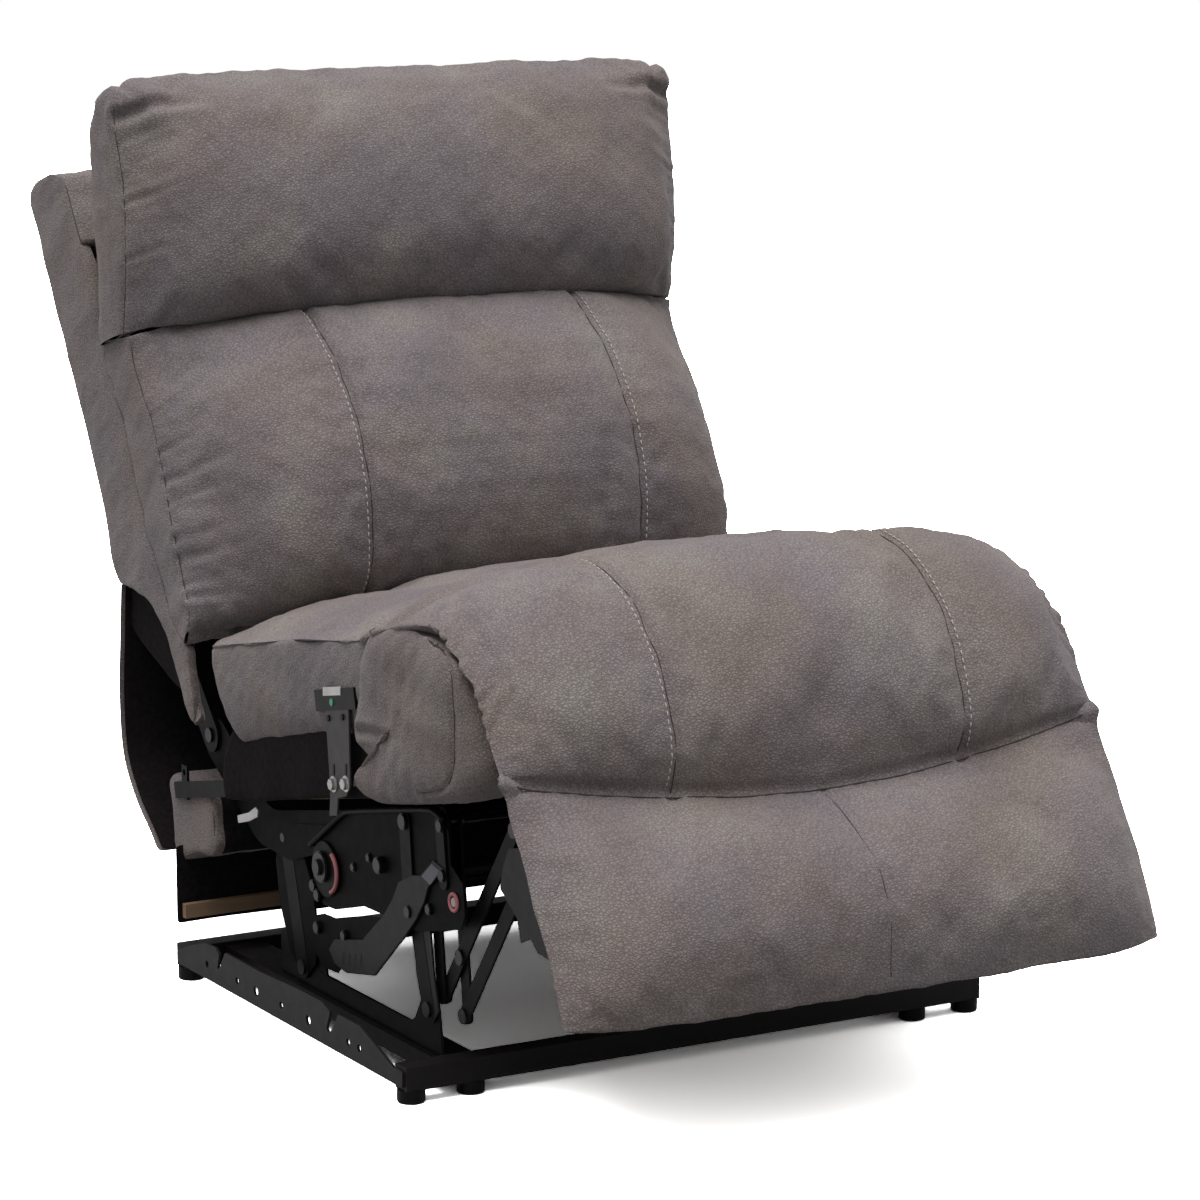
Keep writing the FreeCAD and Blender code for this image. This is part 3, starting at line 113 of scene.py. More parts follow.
def empty_tree(owner):
    """Cleared node tree of a material or a world."""
    owner.use_nodes = True
    owner.node_tree.nodes.clear()
    return owner.node_tree


def node(tree, kind, inputs=(), **settings):
    """Outputs of a new node; each input is a value or another node's output."""
    made = tree.nodes.new("ShaderNode" + kind)
    for name, value in settings.items():
        setattr(made, name, value)
    for place, value in dict(inputs).items():
        if isinstance(value, bpy.types.NodeSocket):
            tree.links.new(value, made.inputs[place])
        else:
            made.inputs[place].default_value = value
    return made.outputs


def calc(tree, operation, *values):
    return node(tree, "Math", enumerate(values), operation=operation)[0]


def seen_directly(tree, camera_share, mirror_share):
    """Number for camera rays, another for mirrored and transmitted rays, and 0 for the rest."""
    path = node(tree, "LightPath")
    mirrored = calc(tree, "MAXIMUM", path["Is Glossy Ray"], path["Is Transmission Ray"])
    second = calc(tree, "MULTIPLY", mirrored, mirror_share)
    return calc(tree, "MULTIPLY_ADD", path["Is Camera Ray"], camera_share, second)


def make_world():
    """White to the camera and in reflections; a soft overhead sky for light."""
    world = bpy.data.worlds.new("studio")
    bpy.context.scene.world = world
    tree = empty_tree(world)
    height = node(tree, "SeparateXYZ", {0: node(tree, "TexCoord")["Generated"]})["Z"]
    strength = node(tree, "MapRange", {"Value": height, "From Min": -0.1, "From Max": 1.0,
                                       "To Min": 0.12, "To Max": 0.95})[0]
    soft = node(tree, "Background", {"Color": WHITE, "Strength": strength})[0]
    white = node(tree, "Background", {"Color": WHITE, "Strength": 1.0})[0]
    sky = node(tree, "MixShader", {0: seen_directly(tree, 1.0, 1.0), 1: soft, 2: white})[0]
    node(tree, "OutputWorld", {0: sky})


def shade_inside_base(tree):
    """1 on the open floor and less in the shade between the rails of the base."""
    split = node(tree, "SeparateXYZ", {0: node(tree, "TexCoord")["Object"]})
    low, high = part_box("base_rails")
    beyond = []
    for axis in (0, 1):
        away = calc(tree, "SUBTRACT", split[axis], (low[axis] + high[axis]) / 2)
        half = (high[axis] - low[axis]) / 2
        edge = {"Value": calc(tree, "ABSOLUTE", away), "From Min": half - 0.02, "From Max": half + 0.02}
        beyond.append(node(tree, "MapRange", edge)[0])
    return node(tree, "MapRange", {"Value": calc(tree, "MAXIMUM", *beyond), "To Min": 0.52})[0]


def make_floor():
    """Pale floor that is white to the camera away from the object's shadow."""
    corners = [(x * FLOOR_REACH, y * FLOOR_REACH, 0) for x, y in ((-1, -1), (1, -1), (1, 1), (-1, 1))]
    mesh = new_mesh("floor", corners, [(0, 1, 2, 3)])
    material = bpy.data.materials.new("floor")
    tree = empty_tree(material)
    glow = calc(tree, "MULTIPLY", seen_directly(tree, 6.0, 0.42), shade_inside_base(tree))
    matt = node(tree, "BsdfDiffuse", {"Color": (0.22, 0.22, 0.22, 1)})[0]
    extra = node(tree, "BsdfDiffuse", {"Color": glow})[0]
    node(tree, "OutputMaterial", {0: node(tree, "AddShader", {0: matt, 1: extra})[0]})
    mesh.materials.append(material)
    add_object("floor", mesh)


def make_stage():
    make_camera()
    make_world()
    make_floor()
    make_lamp()
    bpy.context.scene.view_settings.view_transform = "Standard"


# ---------------------------------------------------------------- materials
def start_finish(name):
    """Empty node tree of a new finish, and its object coordinates."""
    FINISH[name] = bpy.data.materials.new(name)
    tree = empty_tree(FINISH[name])
    return tree, node(tree, "TexCoord")["Object"]


def principled(tree, values, links):
    """Main shader of a finish; links come over the values of the same inputs."""
    shader = tree.nodes.new("ShaderNodeBsdfPrincipled")
    for name, value in values.items():
        shader.inputs[name].default_value = value
    for name, source in links.items():
        tree.links.new(source, shader.inputs[name])
    node(tree, "OutputMaterial", {0: shader.outputs[0]})


def noise(tree, coords, scale, detail=3.0, roughness=0.55):
    return node(tree, "TexNoise", {"Scale": scale, "Detail": detail, "Roughness": roughness,
                                   "Vector": coords})["Fac"]


def ramp(tree, source, *stops):
    """Colour ramp; each stop is (place, colour or shade of grey)."""
    made = tree.nodes.new("ShaderNodeValToRGB")
    for element, (place, colour) in zip(made.color_ramp.elements, stops):
        element.position = place
        element.color = tuple(np.broadcast_to(colour, 3)) + (1,)
    tree.links.new(source, made.inputs[0])
    return made.outputs["Color"]


def blend_colour(tree, kind, share, first, second):
    return node(tree, "Mix", {0: share, 6: first, 7: second}, data_type="RGBA", blend_type=kind)[2]


def bump(tree, height, strength, distance, **below):
    """Relief; below is Normal=another relief that it lies on."""
    return node(tree, "Bump", {"Strength": strength, "Distance": distance, "Height": height, **below})[0]


def suede():
    """Taupe faux suede: pebbled grain over soft warm and cool mottling, with painted highlights on its beads
    and painted shade in the crevices between them.
    """
    tree, coords = start_finish("suede")
    warm, cool, green = (0.206, 0.171, 0.157), (0.197, 0.170, 0.178), (0.204, 0.184, 0.168)
    broad = ramp(tree, noise(tree, coords, 6.0, 2.0), (0.38, warm), (0.62, cool))
    patch = ramp(tree, noise(tree, coords, 9.0, 3.0), (0.50, 0), (0.75, 1))
    cloud = ramp(tree, noise(tree, coords, 9.0, 3.5, 0.52), (0.33, 0.85), (0.68, 1.11))
    speck = ramp(tree, noise(tree, coords, 700.0, 3.0, 0.6), (0.32, 0.84), (0.68, 1.16))
    wide = node(tree, "Mapping", {"Scale": (0.78, 1.0, 1.0), "Vector": coords})[0]
    shake = node(tree, "TexNoise", {"Scale": 130.0, "Vector": coords})["Color"]
    wander = node(tree, "Mix", {0: 0.006, 4: wide, 5: shake}, data_type="VECTOR")[1]
    cells = {"Scale": 335.0, "Vector": wander}
    beads = node(tree, "TexVoronoi", cells)["Distance"]
    creases = node(tree, "TexVoronoi", cells, feature="DISTANCE_TO_EDGE")["Distance"]
    # painted highlight on the middle of each bead of the grain, and painted shade in the crevices between the
    # beads
    bead_highlight = ramp(tree, beads, (0.05, 1.14), (0.55, 0.92))
    crease = ramp(tree, creases, (0.0, 0.66), (0.16, 1.03))
    colour = blend_colour(tree, "MIX", patch, broad, green + (1,))
    for share, layer in ((1.0, cloud), (1.0, bead_highlight), (1.0, crease), (0.9, speck)):
        colour = blend_colour(tree, "MULTIPLY", share, colour, layer)
    relief = node(tree, "MapRange", {"Value": creases, "From Max": 0.30})[0]
    grain = bump(tree, relief, 0.50, 0.0009)
    nap = bump(tree, noise(tree, coords, 620.0, 3.0), 0.30, 0.0006, Normal=grain)
    principled(tree, {"Roughness": 0.80, "Specular IOR Level": 0.16, "Sheen Weight": 0.20,
                      "Sheen Roughness": 0.45, "Sheen Tint": (0.90, 0.84, 0.85, 1)},
               {"Base Color": colour, "Normal": nap})


# finish of the topstitching thread, and of the thin dark lines of painted shade in the seams
def thread_and_seam_shade(name, colour):
    tree, coords = start_finish(name)
    dark = tuple(0.75 * part for part in colour)
    tint = ramp(tree, noise(tree, coords, 900.0), (0.3, dark), (0.7, colour))
    principled(tree, {"Roughness": 0.7, "Specular IOR Level": 0.3}, {"Base Color": tint})


def woven_black():
    """Thin black lining cloth."""
    tree, coords = start_finish("woven_black")
    low, high = (0.0075, 0.0065, 0.0066), (0.0145, 0.0122, 0.0125)
    tint = ramp(tree, noise(tree, coords, 160.0, 4.0), (0.3, low), (0.7, high))
    weave = node(tree, "TexWave", {"Scale": 420.0, "Distortion": 1.0, "Vector": coords})["Fac"]
    principled(tree, {"Roughness": 0.9, "Specular IOR Level": 0.05},
               {"Base Color": tint, "Normal": bump(tree, weave, 0.25, 0.0004)})


def painted(name, colour, roughness, metallic=0.0, specular=0.5, texture=220.0):
    """Painted or plated metal and moulded plastic: faint orange peel and uneven gloss."""
    tree, coords = start_finish(name)
    dark = tuple(0.72 * part for part in colour)
    tint = ramp(tree, noise(tree, coords, 34.0, 4.0), (0.3, dark), (0.75, colour))
    gloss = node(tree, "MapRange", {"Value": noise(tree, coords, 60.0, 4.0), "To Min": roughness - 0.08,
                                    "To Max": roughness + 0.10})[0]
    peel = bump(tree, noise(tree, coords, texture, 3.0), 0.25, 0.0003)
    principled(tree, {"Roughness": roughness, "Metallic": metallic, "Specular IOR Level": specular},
               {"Base Color": tint, "Roughness": gloss, "Normal": peel})


def wood(name, light, dark, scale):
    """Sawn timber or ply with long grain across the chair."""
    tree, coords = start_finish(name)
    drawn_out = node(tree, "Mapping", {"Scale": (0.08, 1.0, 1.0), "Vector": coords})[0]
    grain = noise(tree, drawn_out, scale, 6.0, 0.6)
    tint = ramp(tree, grain, (0.3, dark), (0.7, light))
    principled(tree, {"Roughness": 0.75, "Specular IOR Level": 0.25},
               {"Base Color": tint, "Normal": bump(tree, grain, 0.3, 0.0004)})


def make_finishes():
    suede()
    # thin dark lines in the seams: painted shade
    thread_and_seam_shade("painted_seam_shade", (0.040, 0.034, 0.033))
    thread_and_seam_shade("stitch_thread", (0.46, 0.42, 0.40))
    woven_black()
    painted("black_steel", (0.0052, 0.0043, 0.0045), 0.44, specular=0.06)
    painted("deep_black", (0.0022, 0.0017, 0.0018), 0.50, specular=0.03)
    painted("satin_steel", (0.0135, 0.0115, 0.0118), 0.46, specular=0.12)
    painted("strip_steel", (0.036, 0.031, 0.032), 0.46, specular=0.2)
    painted("black_plastic", (0.0046, 0.0040, 0.0042), 0.40, specular=0.10, texture=600.0)
    painted("zinc", (0.42, 0.41, 0.40), 0.34, metallic=1.0)
    painted("black_zinc", (0.040, 0.037, 0.038), 0.36, metallic=1.0)
    painted("spring_steel", (0.25, 0.24, 0.23), 0.35, metallic=1.0)
    wood("timber", (0.30, 0.20, 0.125), (0.18, 0.115, 0.07), 40.0)
    wood("plywood", (0.40, 0.30, 0.19), (0.27, 0.19, 0.11), 26.0)
    painted("label", (0.72, 0.70, 0.69), 0.6, texture=300.0)
    painted("lamp", (0.02, 0.25, 0.14), 0.35)
    painted("grey_patch", (0.10, 0.10, 0.125), 0.6)
    painted("red_washer", (0.42, 0.13, 0.14), 0.5)
    painted("pale_hub", (0.45, 0.38, 0.38), 0.5)


# ---------------------------------------------------------------- curves and grids
def knots_of(points):
    """Place of each point along its line, from 0 to 1."""
    steps = np.hypot(*np.diff(np.array(points, float), axis=0).T)
    places = np.concatenate([[0.0], np.cumsum(steps)])
    return places / places[-1]


def smooth_line(points, knots, spots):
    """Smooth line through (y, z) millimetre points, in metres at the given spots."""
    points = np.array(points, float) * MM
    slopes = np.diff(points, axis=0) / np.diff(knots)[:, None]
    tangents = np.empty_like(points)
    tangents[0], tangents[-1] = slopes[0], slopes[-1]
    before, after = np.diff(knots)[:-1, None], np.diff(knots)[1:, None]
    tangents[1:-1] = (slopes[:-1] * after + slopes[1:] * before) / (before + after)
    index = np.clip(np.searchsorted(knots, spots, side="right") - 1, 0, len(knots) - 2)
    span = (knots[index + 1] - knots[index])[:, None]
    t = ((spots - knots[index])[:, None]) / span
    start, stop = points[index], points[index + 1]
    return ((2 * t**3 - 3 * t**2 + 1) * start + (t**3 - 2 * t**2 + t) * span * tangents[index]
            + (3 * t**2 - 2 * t**3) * stop + (t**3 - t**2) * span * tangents[index + 1])


def line_through(points, spots):
    return smooth_line(points, knots_of(points), spots)


def at_x(line, x):
    """The (y, z) line in the plane at x."""
    return np.column_stack([np.full(len(line), x), line])


def rows_along(length):
    """Places from 0 to 1 along an outline of some length, a mesh spacing apart."""
    return np.linspace(0, 1, int(round(length / GRID)) + 1)


NEAR_LINE = (-0.0035, -0.0015, 0, 0.0015, 0.0035)    # extra stations around a stitched line
LINE_CLEAR = 0.005                             # other stations stay this far from it


def across(lines=()):
    """Stations across a piece, closer together at its side seams and at each side's lines."""
    turn = np.linspace(-1, 1, int(round(2 * HALF / GRID)) + 1)
    places = list(np.sign(turn) * (1 - (1 - np.abs(turn)) ** 1.35) * HALF)
    for line in lines:
        for side in SIDES:
            places = [place for place in places if abs(place - side * line) > LINE_CLEAR]
            places += [side * line + near for near in NEAR_LINE]
    return np.array(sorted(places))


def crowned(low, high, stations, power):
    """Grid from the line at the side seams to the line at the middle; power may be one per row."""
    lift = 1 - np.clip(np.abs(stations)[None, :] / HALF, 0, 1) ** power
    flat = low[:, None, :] + (high - low)[:, None, :] * lift[:, :, None]
    wide = np.broadcast_to(stations[None, :, None], flat.shape[:2] + (1,))
    return np.concatenate([wide, flat], axis=2)


def loft(outline, spots, stations):
    """Grid of a sheet given as (edge, middle, knots, power), rows along it and columns across."""
    edge, middle, knots, power = outline
    powers = np.interp(spots, knots, np.broadcast_to(power, len(knots)))[:, None]
    return crowned(smooth_line(edge, knots, spots), smooth_line(middle, knots, spots), stations, powers)


def cap(first, second, cells, bulge=(0, 0, 0)):
    """Grid between two matching rows of points, bulged in its middle."""
    t = np.linspace(0, 1, cells + 1)[None, :, None]
    rise = (1 - (2 * t - 1) ** 4) * np.array(bulge)[None, None, :]
    return first[:, None, :] * (1 - t) + second[:, None, :] * t + rise


WELD, SLIVER = 0.00012, 0.00005                # points and edges closer than this are merged
SEAM_ANGLE = math.radians(28)                  # sharper edges of a mesh are creased


def mesh_from_grids(name, grids, finish, crease=0.6):
    """Mesh of several grids welded where they meet, with creased edges at its seams."""
    points, faces = [], []
    for grid in grids:
        spot = len(points) + np.arange(grid.shape[0] * grid.shape[1]).reshape(grid.shape[:2])
        corners = (spot[:-1, :-1], spot[:-1, 1:], spot[1:, 1:], spot[1:, :-1])
        faces += np.stack(corners, axis=2).reshape(-1, 4).tolist()
        points += [tuple(point) for point in grid.reshape(-1, 3)]
    mesh = new_mesh(name, points, faces)
    work = bmesh.new()
    work.from_mesh(mesh)
    bmesh.ops.remove_doubles(work, verts=work.verts, dist=WELD)
    bmesh.ops.dissolve_degenerate(work, edges=work.edges, dist=SLIVER)
    bmesh.ops.recalc_face_normals(work, faces=work.faces)
    layer = work.edges.layers.float.new("crease_edge")
    for edge in work.edges:
        if len(edge.link_faces) == 2 and edge.calc_face_angle(0) > SEAM_ANGLE:
            edge[layer] = crease
    work.to_mesh(mesh)
    work.free()
    mesh.materials.append(FINISH[finish])
    return add_object(name, mesh)


CLOTH = {                                      # settings of the cloth simulation
    "quality": 6, "mass": 0.25, "air_damping": 2.0, "tension_stiffness": 18, "compression_stiffness": 18,
    "shear_stiffness": 8, "bending_stiffness": 1.2, "use_pressure": True, "uniform_pressure_force": 4.0,
    "vertex_group_mass": "held",
}
CLOTH_FRAMES = 20


def puff(piece, loose, slack, most):
    """Short cloth simulation under air pressure; only the loose vertices move, by at most so much."""
    start = vertices(piece)
    held = piece.vertex_groups.new(name="held")
    for index, share in enumerate(np.clip(loose, 0, 1)):
        held.add([index], 1.0 - float(share), "REPLACE")
    cloth = piece.modifiers.new("cloth", "CLOTH")
    for name, value in CLOTH.items():
        setattr(cloth.settings, name, value)
    cloth.settings.shrink_min = -slack
    cloth.settings.effector_weights.gravity = 0
    cloth.collision_settings.use_collision = False
    cloth.point_cache.frame_start = 1
    cloth.point_cache.frame_end = CLOTH_FRAMES
    for frame_number in range(1, CLOTH_FRAMES + 1):
        bpy.context.scene.frame_set(frame_number)
    settle_modifiers(piece)
    shift = vertices(piece) - start
    length = np.linalg.norm(shift, axis=1)[:, None]
    shift *= most * np.tanh(length / most) / np.maximum(length, 1e-9)
    piece.data.vertices.foreach_set("co", (start + shift).ravel())
    piece.data.update()
    piece.vertex_groups.clear()
    bpy.context.scene.frame_set(1)


def settle_modifiers(piece):
    """Replaces the mesh by the result of its modifiers."""
    graph = bpy.context.evaluated_depsgraph_get()
    graph.update()
    result = bpy.data.meshes.new_from_object(piece.evaluated_get(graph))
    piece.modifiers.clear()
    piece.data = result


def subdivide(piece):
    modifier = piece.modifiers.new("smooth", "SUBSURF")
    modifier.levels = 1
    modifier.render_levels = 1
    settle_modifiers(piece)
    shade_smooth(piece)


def shade_smooth(piece):
    piece.data.polygons.foreach_set("use_smooth", [True] * len(piece.data.polygons))


def vectors(items, field):
    flat = np.empty(len(items) * 3)
    items.foreach_get(field, flat)
    return flat.reshape(-1, 3)


def vertices(piece):
    return vectors(piece.data.vertices, "co")


def normals(piece):
    return vectors(piece.data.vertex_normals, "vector")


TREES = {}                                     # search tree of the piece last asked for
CHANGES = {}                                   # how often each piece's vertices have moved


def move_vertices(piece, shift):
    """Moves each vertex by a vector."""
    CHANGES[piece.name] = CHANGES.get(piece.name, 0) + 1
    piece.data.vertices.foreach_set("co", (vertices(piece) + shift).ravel())
    piece.data.update()


def ripples(points, wavelength, seed, waves=9):
    """Smooth noise of about unit height, the same on every run."""
    source = np.random.default_rng(seed)
    total = np.zeros(len(points))
    for _ in range(waves):
        way = source.normal(size=3)
        way /= np.linalg.norm(way)
        length = wavelength * source.uniform(0.7, 1.6)
        total += np.sin(points @ way * 2 * math.pi / length + source.uniform(0, 2 * math.pi))
    return total / math.sqrt(waves)


def soften_surface(piece, seed, height=0.0012, wavelength=0.07):
    """Slight unevenness of stuffed cloth."""
    points, ways = vertices(piece), normals(piece)
    wave = ripples(points, wavelength, seed) * height + ripples(points, wavelength / 3, seed + 1) * height / 3
    move_vertices(piece, ways * wave[:, None])


def distance_to(path, points):
    """Distance of each point to the path, and the share of the path at its nearest place."""
    tree = KDTree(len(path))
    for index, place in enumerate(path):
        tree.insert(place, index)
    tree.balance()
    found = [tree.find(point) for point in points]
    return np.array([item[2] for item in found]), np.array([item[1] for item in found]) / (len(path) - 1)


def reach_of(path):
    """Distance of each point of the path from its start."""
    return np.concatenate([[0], np.cumsum(np.linalg.norm(np.diff(path, axis=0), axis=1))])


def points_at(path, reach, spots):
    """Points of the path at some distances from its start."""
    return np.stack([np.interp(spots, reach, path[:, axis]) for axis in range(3)], axis=1)


def dense(path, step=0.002):
    """The path with points about a step apart."""
    path = np.array(path, float)
    reach = reach_of(path)
    return points_at(path, reach, np.linspace(0, reach[-1], max(2, int(reach[-1] / step))))


SEAM_GROOVE = (0.0016, 0.0028)                 # depth and width of a plain seam
PANEL_GROOVE = (0.0042, 0.0055, 0.0012)        # depth, width and lips of a topstitched one


def groove(piece, path, depth, width, lips=0.0, fades=False):
    """Presses a line into the surface, raises lips beside it and lets it fade towards its end."""
    path = dense(path)
    points, ways = vertices(piece), normals(piece)
    low, high = path.min(axis=0) - 4 * width, path.max(axis=0) + 4 * width
    near = np.all((points > low) & (points < high), axis=1)
    gap, share = distance_to(path, points[near])
    push = -depth * np.exp(-(gap / width) ** 2)
    push += lips * np.exp(-((gap - 1.9 * width) / width) ** 2)
    if fades:
        push *= np.clip(1 - share, 0, 1) ** 0.6
    shift = np.zeros_like(points)
    shift[near] = ways[near] * push[:, None]
    move_vertices(piece, shift)


def laid(piece, path, step=0.005):
    """The path moved onto the surface of the piece and smoothed."""
    return eased(on_surface(piece, dense(path, step))[0])


def tucks(piece, outline, marks):
    """Gathers that run inwards from both side seams.

    Each mark is (place on the outline, reach, lean along the outline, depth), places being indexes
    of the outline's points."""
    knots = outline[2]
    share = np.linspace(0, 1, 14)
    for place, reach, lean, depth in marks:
        spots = np.interp(place + lean * share, np.arange(len(knots)), knots)
        for side in SIDES:
            line = [loft(outline, np.array([spot]), np.array([side * (HALF - reach * at)]))[0, 0]
                    for spot, at in zip(spots, share)]
            groove(piece, laid(piece, line, 0.003), depth, 1.6 * depth + 0.0012, 0.45 * depth, fades=True)


def on_surface(piece, path):
    """The path moved to the nearest surface of the piece, and the surface's directions there."""
    key = (piece.name, piece.data.name)
    if TREES.get("key") != key or TREES["count"] != CHANGES.get(piece.name, 0):
        TREES["key"], TREES["count"] = key, CHANGES.get(piece.name, 0)
        TREES["tree"] = BVHTree.FromPolygons([v.co for v in piece.data.vertices],
                                             [tuple(face.vertices) for face in piece.data.polygons])
    places, ways = [], []
    for point in path:
        place, way, _, _ = TREES["tree"].find_nearest(Vector(point))
        places.append(place)
        ways.append(way)
    return np.array(places), np.array(ways)


def tube(path, radius, sides=6):
    """Points and faces of a closed round tube along a path; radius may be one per point."""
    path = np.array(path, float)
    radius = np.broadcast_to(radius, len(path))
    along = np.gradient(path, axis=0)
    along /= np.linalg.norm(along, axis=1)[:, None]
    side = np.cross(along[0], (0, 0, 1) if abs(along[0][2]) < 0.9 else (0, 1, 0))
    points, faces = [], []
    for index, centre in enumerate(path):
        side = side - along[index] * (side @ along[index])
        side /= np.linalg.norm(side)
        other = np.cross(along[index], side)
        for corner in range(sides):
            turn = 2 * math.pi * corner / sides
            points.append(centre + radius[index] * (math.cos(turn) * side + math.sin(turn) * other))
    for ring in range(len(path) - 1):
        for corner in range(sides):
            a = ring * sides + corner
            b = ring * sides + (corner + 1) % sides
            faces.append((a, b, b + sides, a + sides))
    faces.append(tuple(reversed(range(sides))))
    faces.append(tuple(range((len(path) - 1) * sides, len(path) * sides)))
    return points, faces


def mesh_from_parts(name, parts, finish):
    """One object from several (points, faces) lists."""
    points, faces = [], []
    for part_points, part_faces in parts:
        base = len(points)
        points += [tuple(point) for point in part_points]
        faces += [tuple(base + index for index in face) for face in part_faces]
    piece = add_object(name, new_mesh(name, points, faces))
    shade_smooth(piece)
    piece.data.materials.append(FINISH[finish])
    return piece


def eased(path, rounds=6):
    """The path with its jitter smoothed away, its two ends kept."""
    path = np.array(path)
    for _ in range(rounds):
        path[1:-1] = path[1:-1] / 2 + (path[:-2] + path[2:]) / 4
    return path


def seam_shade_line(name, piece, path, radius=0.0005):
    """Thin dark line of painted shade sunk in a seam."""
    return mesh_from_parts(name, [tube(laid(piece, path), radius)], "painted_seam_shade")


def topstitch(name, piece, path, length=0.0056, gap=0.0026, radius=0.0008):
    """Row of single stitches laid on the surface."""
    path = dense(path, 0.0015)
    reach = reach_of(path)
    parts = []
    for start in np.arange(gap, reach[-1] - length, length + gap):
        spots = start + length * np.array([0, 0.15, 0.5, 0.85, 1])
        line, ways = on_surface(piece, points_at(path, reach, spots))
        line += ways * radius * np.array([-0.2, 0.5, 0.8, 0.5, -0.2])[:, None]
        parts.append(tube(line, radius * np.array([0.5, 1, 1, 1, 0.5]), 5))
    return mesh_from_parts(name, parts, "stitch_thread")


def round_corners(points, centre, axis):
    """Rounds the two mirrored corners beyond the centre, in the plane of x and another axis."""
    points = np.array(points)
    over = np.abs(points[:, 0]) - centre[0]
    beyond = points[:, axis] - centre[1]
    inside = (over > 0) & (beyond > 0)
    scale = np.where(inside, np.maximum(over, beyond) / np.maximum(np.hypot(over, beyond), 1e-9), 1.0)
    points[:, 0] = np.where(inside, np.sign(points[:, 0]) * (centre[0] + over * scale), points[:, 0])
    points[:, axis] = np.where(inside, centre[1] + beyond * scale, points[:, axis])
    return points


def shape_corners(piece, centre, axis):
    points = vertices(piece)
    move_vertices(piece, round_corners(points, centre, axis) - points)


# ---------------------------------------------------------------- back outlines, (y, z) in millimetres
LUMBAR_SEAM = [
    (224, 398), (222, 414), (226, 432), (238, 446), (247, 470), (256, 497), (270, 527), (285, 560),
    (301, 592), (318, 620), (342, 647), (361, 675), (366, 703),
]
LUMBAR_CROWN = [
    (228, 398), (180, 412), (150, 430), (132, 458), (126, 490), (125, 522), (130, 556), (146, 603),
    (167, 641), (198, 678), (238, 711), (275, 733), (330, 728),
]
LUMBAR_BACK = [
    (230, 383), (236, 386), (247, 390), (268, 406), (288, 431), (313, 468), (340, 510), (362, 551),
    (385, 597), (405, 625), (419, 645), (430, 662), (434, 690),
]
LUMBAR_POWER = [6.5] * 5 + [6.0, 5.5, 5.0, 4.5, 4.0, 3.8, 3.8, 3.8]
LUMBAR_LENGTH = 0.42                           # along the outline, in metres
LUMBAR_TUCKS = [
    (9.0, 0.030, 0.35, 0.0012), (7.7, 0.048, 0.5, 0.0018), (6.8, 0.062, 0.5, 0.0022),
    (6.1, 0.050, 0.5, 0.0014), (4.9, 0.046, 0.5, 0.0018), (4.1, 0.056, 0.6, 0.0024),
    (3.0, 0.038, 0.6, 0.0016), (2.2, 0.044, 0.5, 0.0018),
]
HEAD_SEAM = [
    (374, 706), (372, 720), (372, 743), (366, 771), (364, 800), (365, 826), (368, 852), (373, 880),
    (380, 907), (387, 938), (384, 970), (400, 981),
]
HEAD_CROWN = [
    (318, 722), (286, 734), (270, 757), (267, 790), (272, 822), (281, 850), (293, 878), (309, 908),
    (328, 935), (347, 959), (372, 980), (405, 985),
]
HEAD_BACK = [
    (434, 686), (437, 699), (439, 725), (441, 757), (444, 790), (447, 818), (450, 846), (453, 875),
    (456, 904), (450, 930), (432, 960), (405, 979),
]
HEAD_REAR_CROWN = [
    (433, 716), (439, 724), (444, 738), (449, 760), (453, 790), (457, 818), (460, 846), (464, 875),
    (467, 905), (468, 932), (451, 963), (412, 985),
]
HEAD_POWER = 5.5
HEAD_LENGTH = 0.36                             # along the outline, in metres
HEAD_CORNER = (HALF - 0.032, 0.955)            # centre (x, z) of the rounded upper corners
HEAD_WIDER = 1.014
HEAD_TUCKS = [(8.2, 0.050, 0.2, 0.0016), (5.9, 0.060, 0.3, 0.0018), (3.6, 0.036, 0.3, 0.0014)]
HEAD_PLEAT = [                                 # (distance in from the side, y, z) in metres
    (0, 0.386, 0.943), (0.025, 0.376, 0.950), (0.055, 0.360, 0.957), (0.100, 0.350, 0.960),
]


def sided(name, side):
    return name + ("_left" if side < 0 else "_right")


def column_line(outline, x, low, high):
    """Line along a lofted piece at one station."""
    return loft(outline, np.linspace(low, high, 80), np.array([x]))[:, 0, :]


def seam_line(edge, knots, side, low, high):
    """Line along a side seam."""
    return at_x(smooth_line(edge, knots, np.linspace(low, high, 60)), side * HALF)


GUSSET_CELLS = 12


def cushion_mesh(name, outline, back, length, lines, gusset, end_cells):
    """Front and rear sheets joined by side gussets that bulge by so much, if any, and by their ends."""
    spots, stations = rows_along(length), across(lines)
    front, rear = loft(outline, spots, stations), loft(back, spots, stations)
    grids = [front, rear]
    if gusset:
        grids += [cap(front[:, end], rear[:, end], GUSSET_CELLS, (side * gusset, 0, 0))
                  for end, side in ((0, -1), (-1, 1))]
    grids += [cap(front[end], rear[end], end_cells) for end in (0, -1)]
    return mesh_from_grids(name, grids, "suede")


def looseness(piece, facing, channels=(), held_lines=()):
    """How freely each vertex may swell: only on the side that faces out, less near seams."""
    points, ways = vertices(piece), normals(piece)
    loose = np.clip(3 * (ways @ (np.array(facing) / np.linalg.norm(facing))), 0, 1)
    loose *= np.clip((HALF - np.abs(points[:, 0])) / 0.035, 0, 1)
    for channel in channels:
        loose *= np.clip(np.abs(np.abs(points[:, 0]) - channel) / 0.03, 0.05, 1)
    for line in held_lines:
        loose *= np.clip(distance_to(dense(line, 0.004), points)[0] / 0.03, 0.05, 1)
    return loose


def sew(piece, paths, stitched=()):
    """Dark lines of painted shade along the (name, side, path) seams, with topstitching beside those named in
    stitched.
    """
    made = []
    for name, side, path in paths:
        made.append(seam_shade_line(sided(name, side), piece, path))
        if name in stitched:
            beside = path + np.array([side * 0.0055, 0, 0])
            made.append(topstitch(sided(name + "_stitches", side), piece, beside))
    return made


def carry(parts, body):
    """Makes the parts ride with a body."""
    for part in parts:
        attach(part, body)


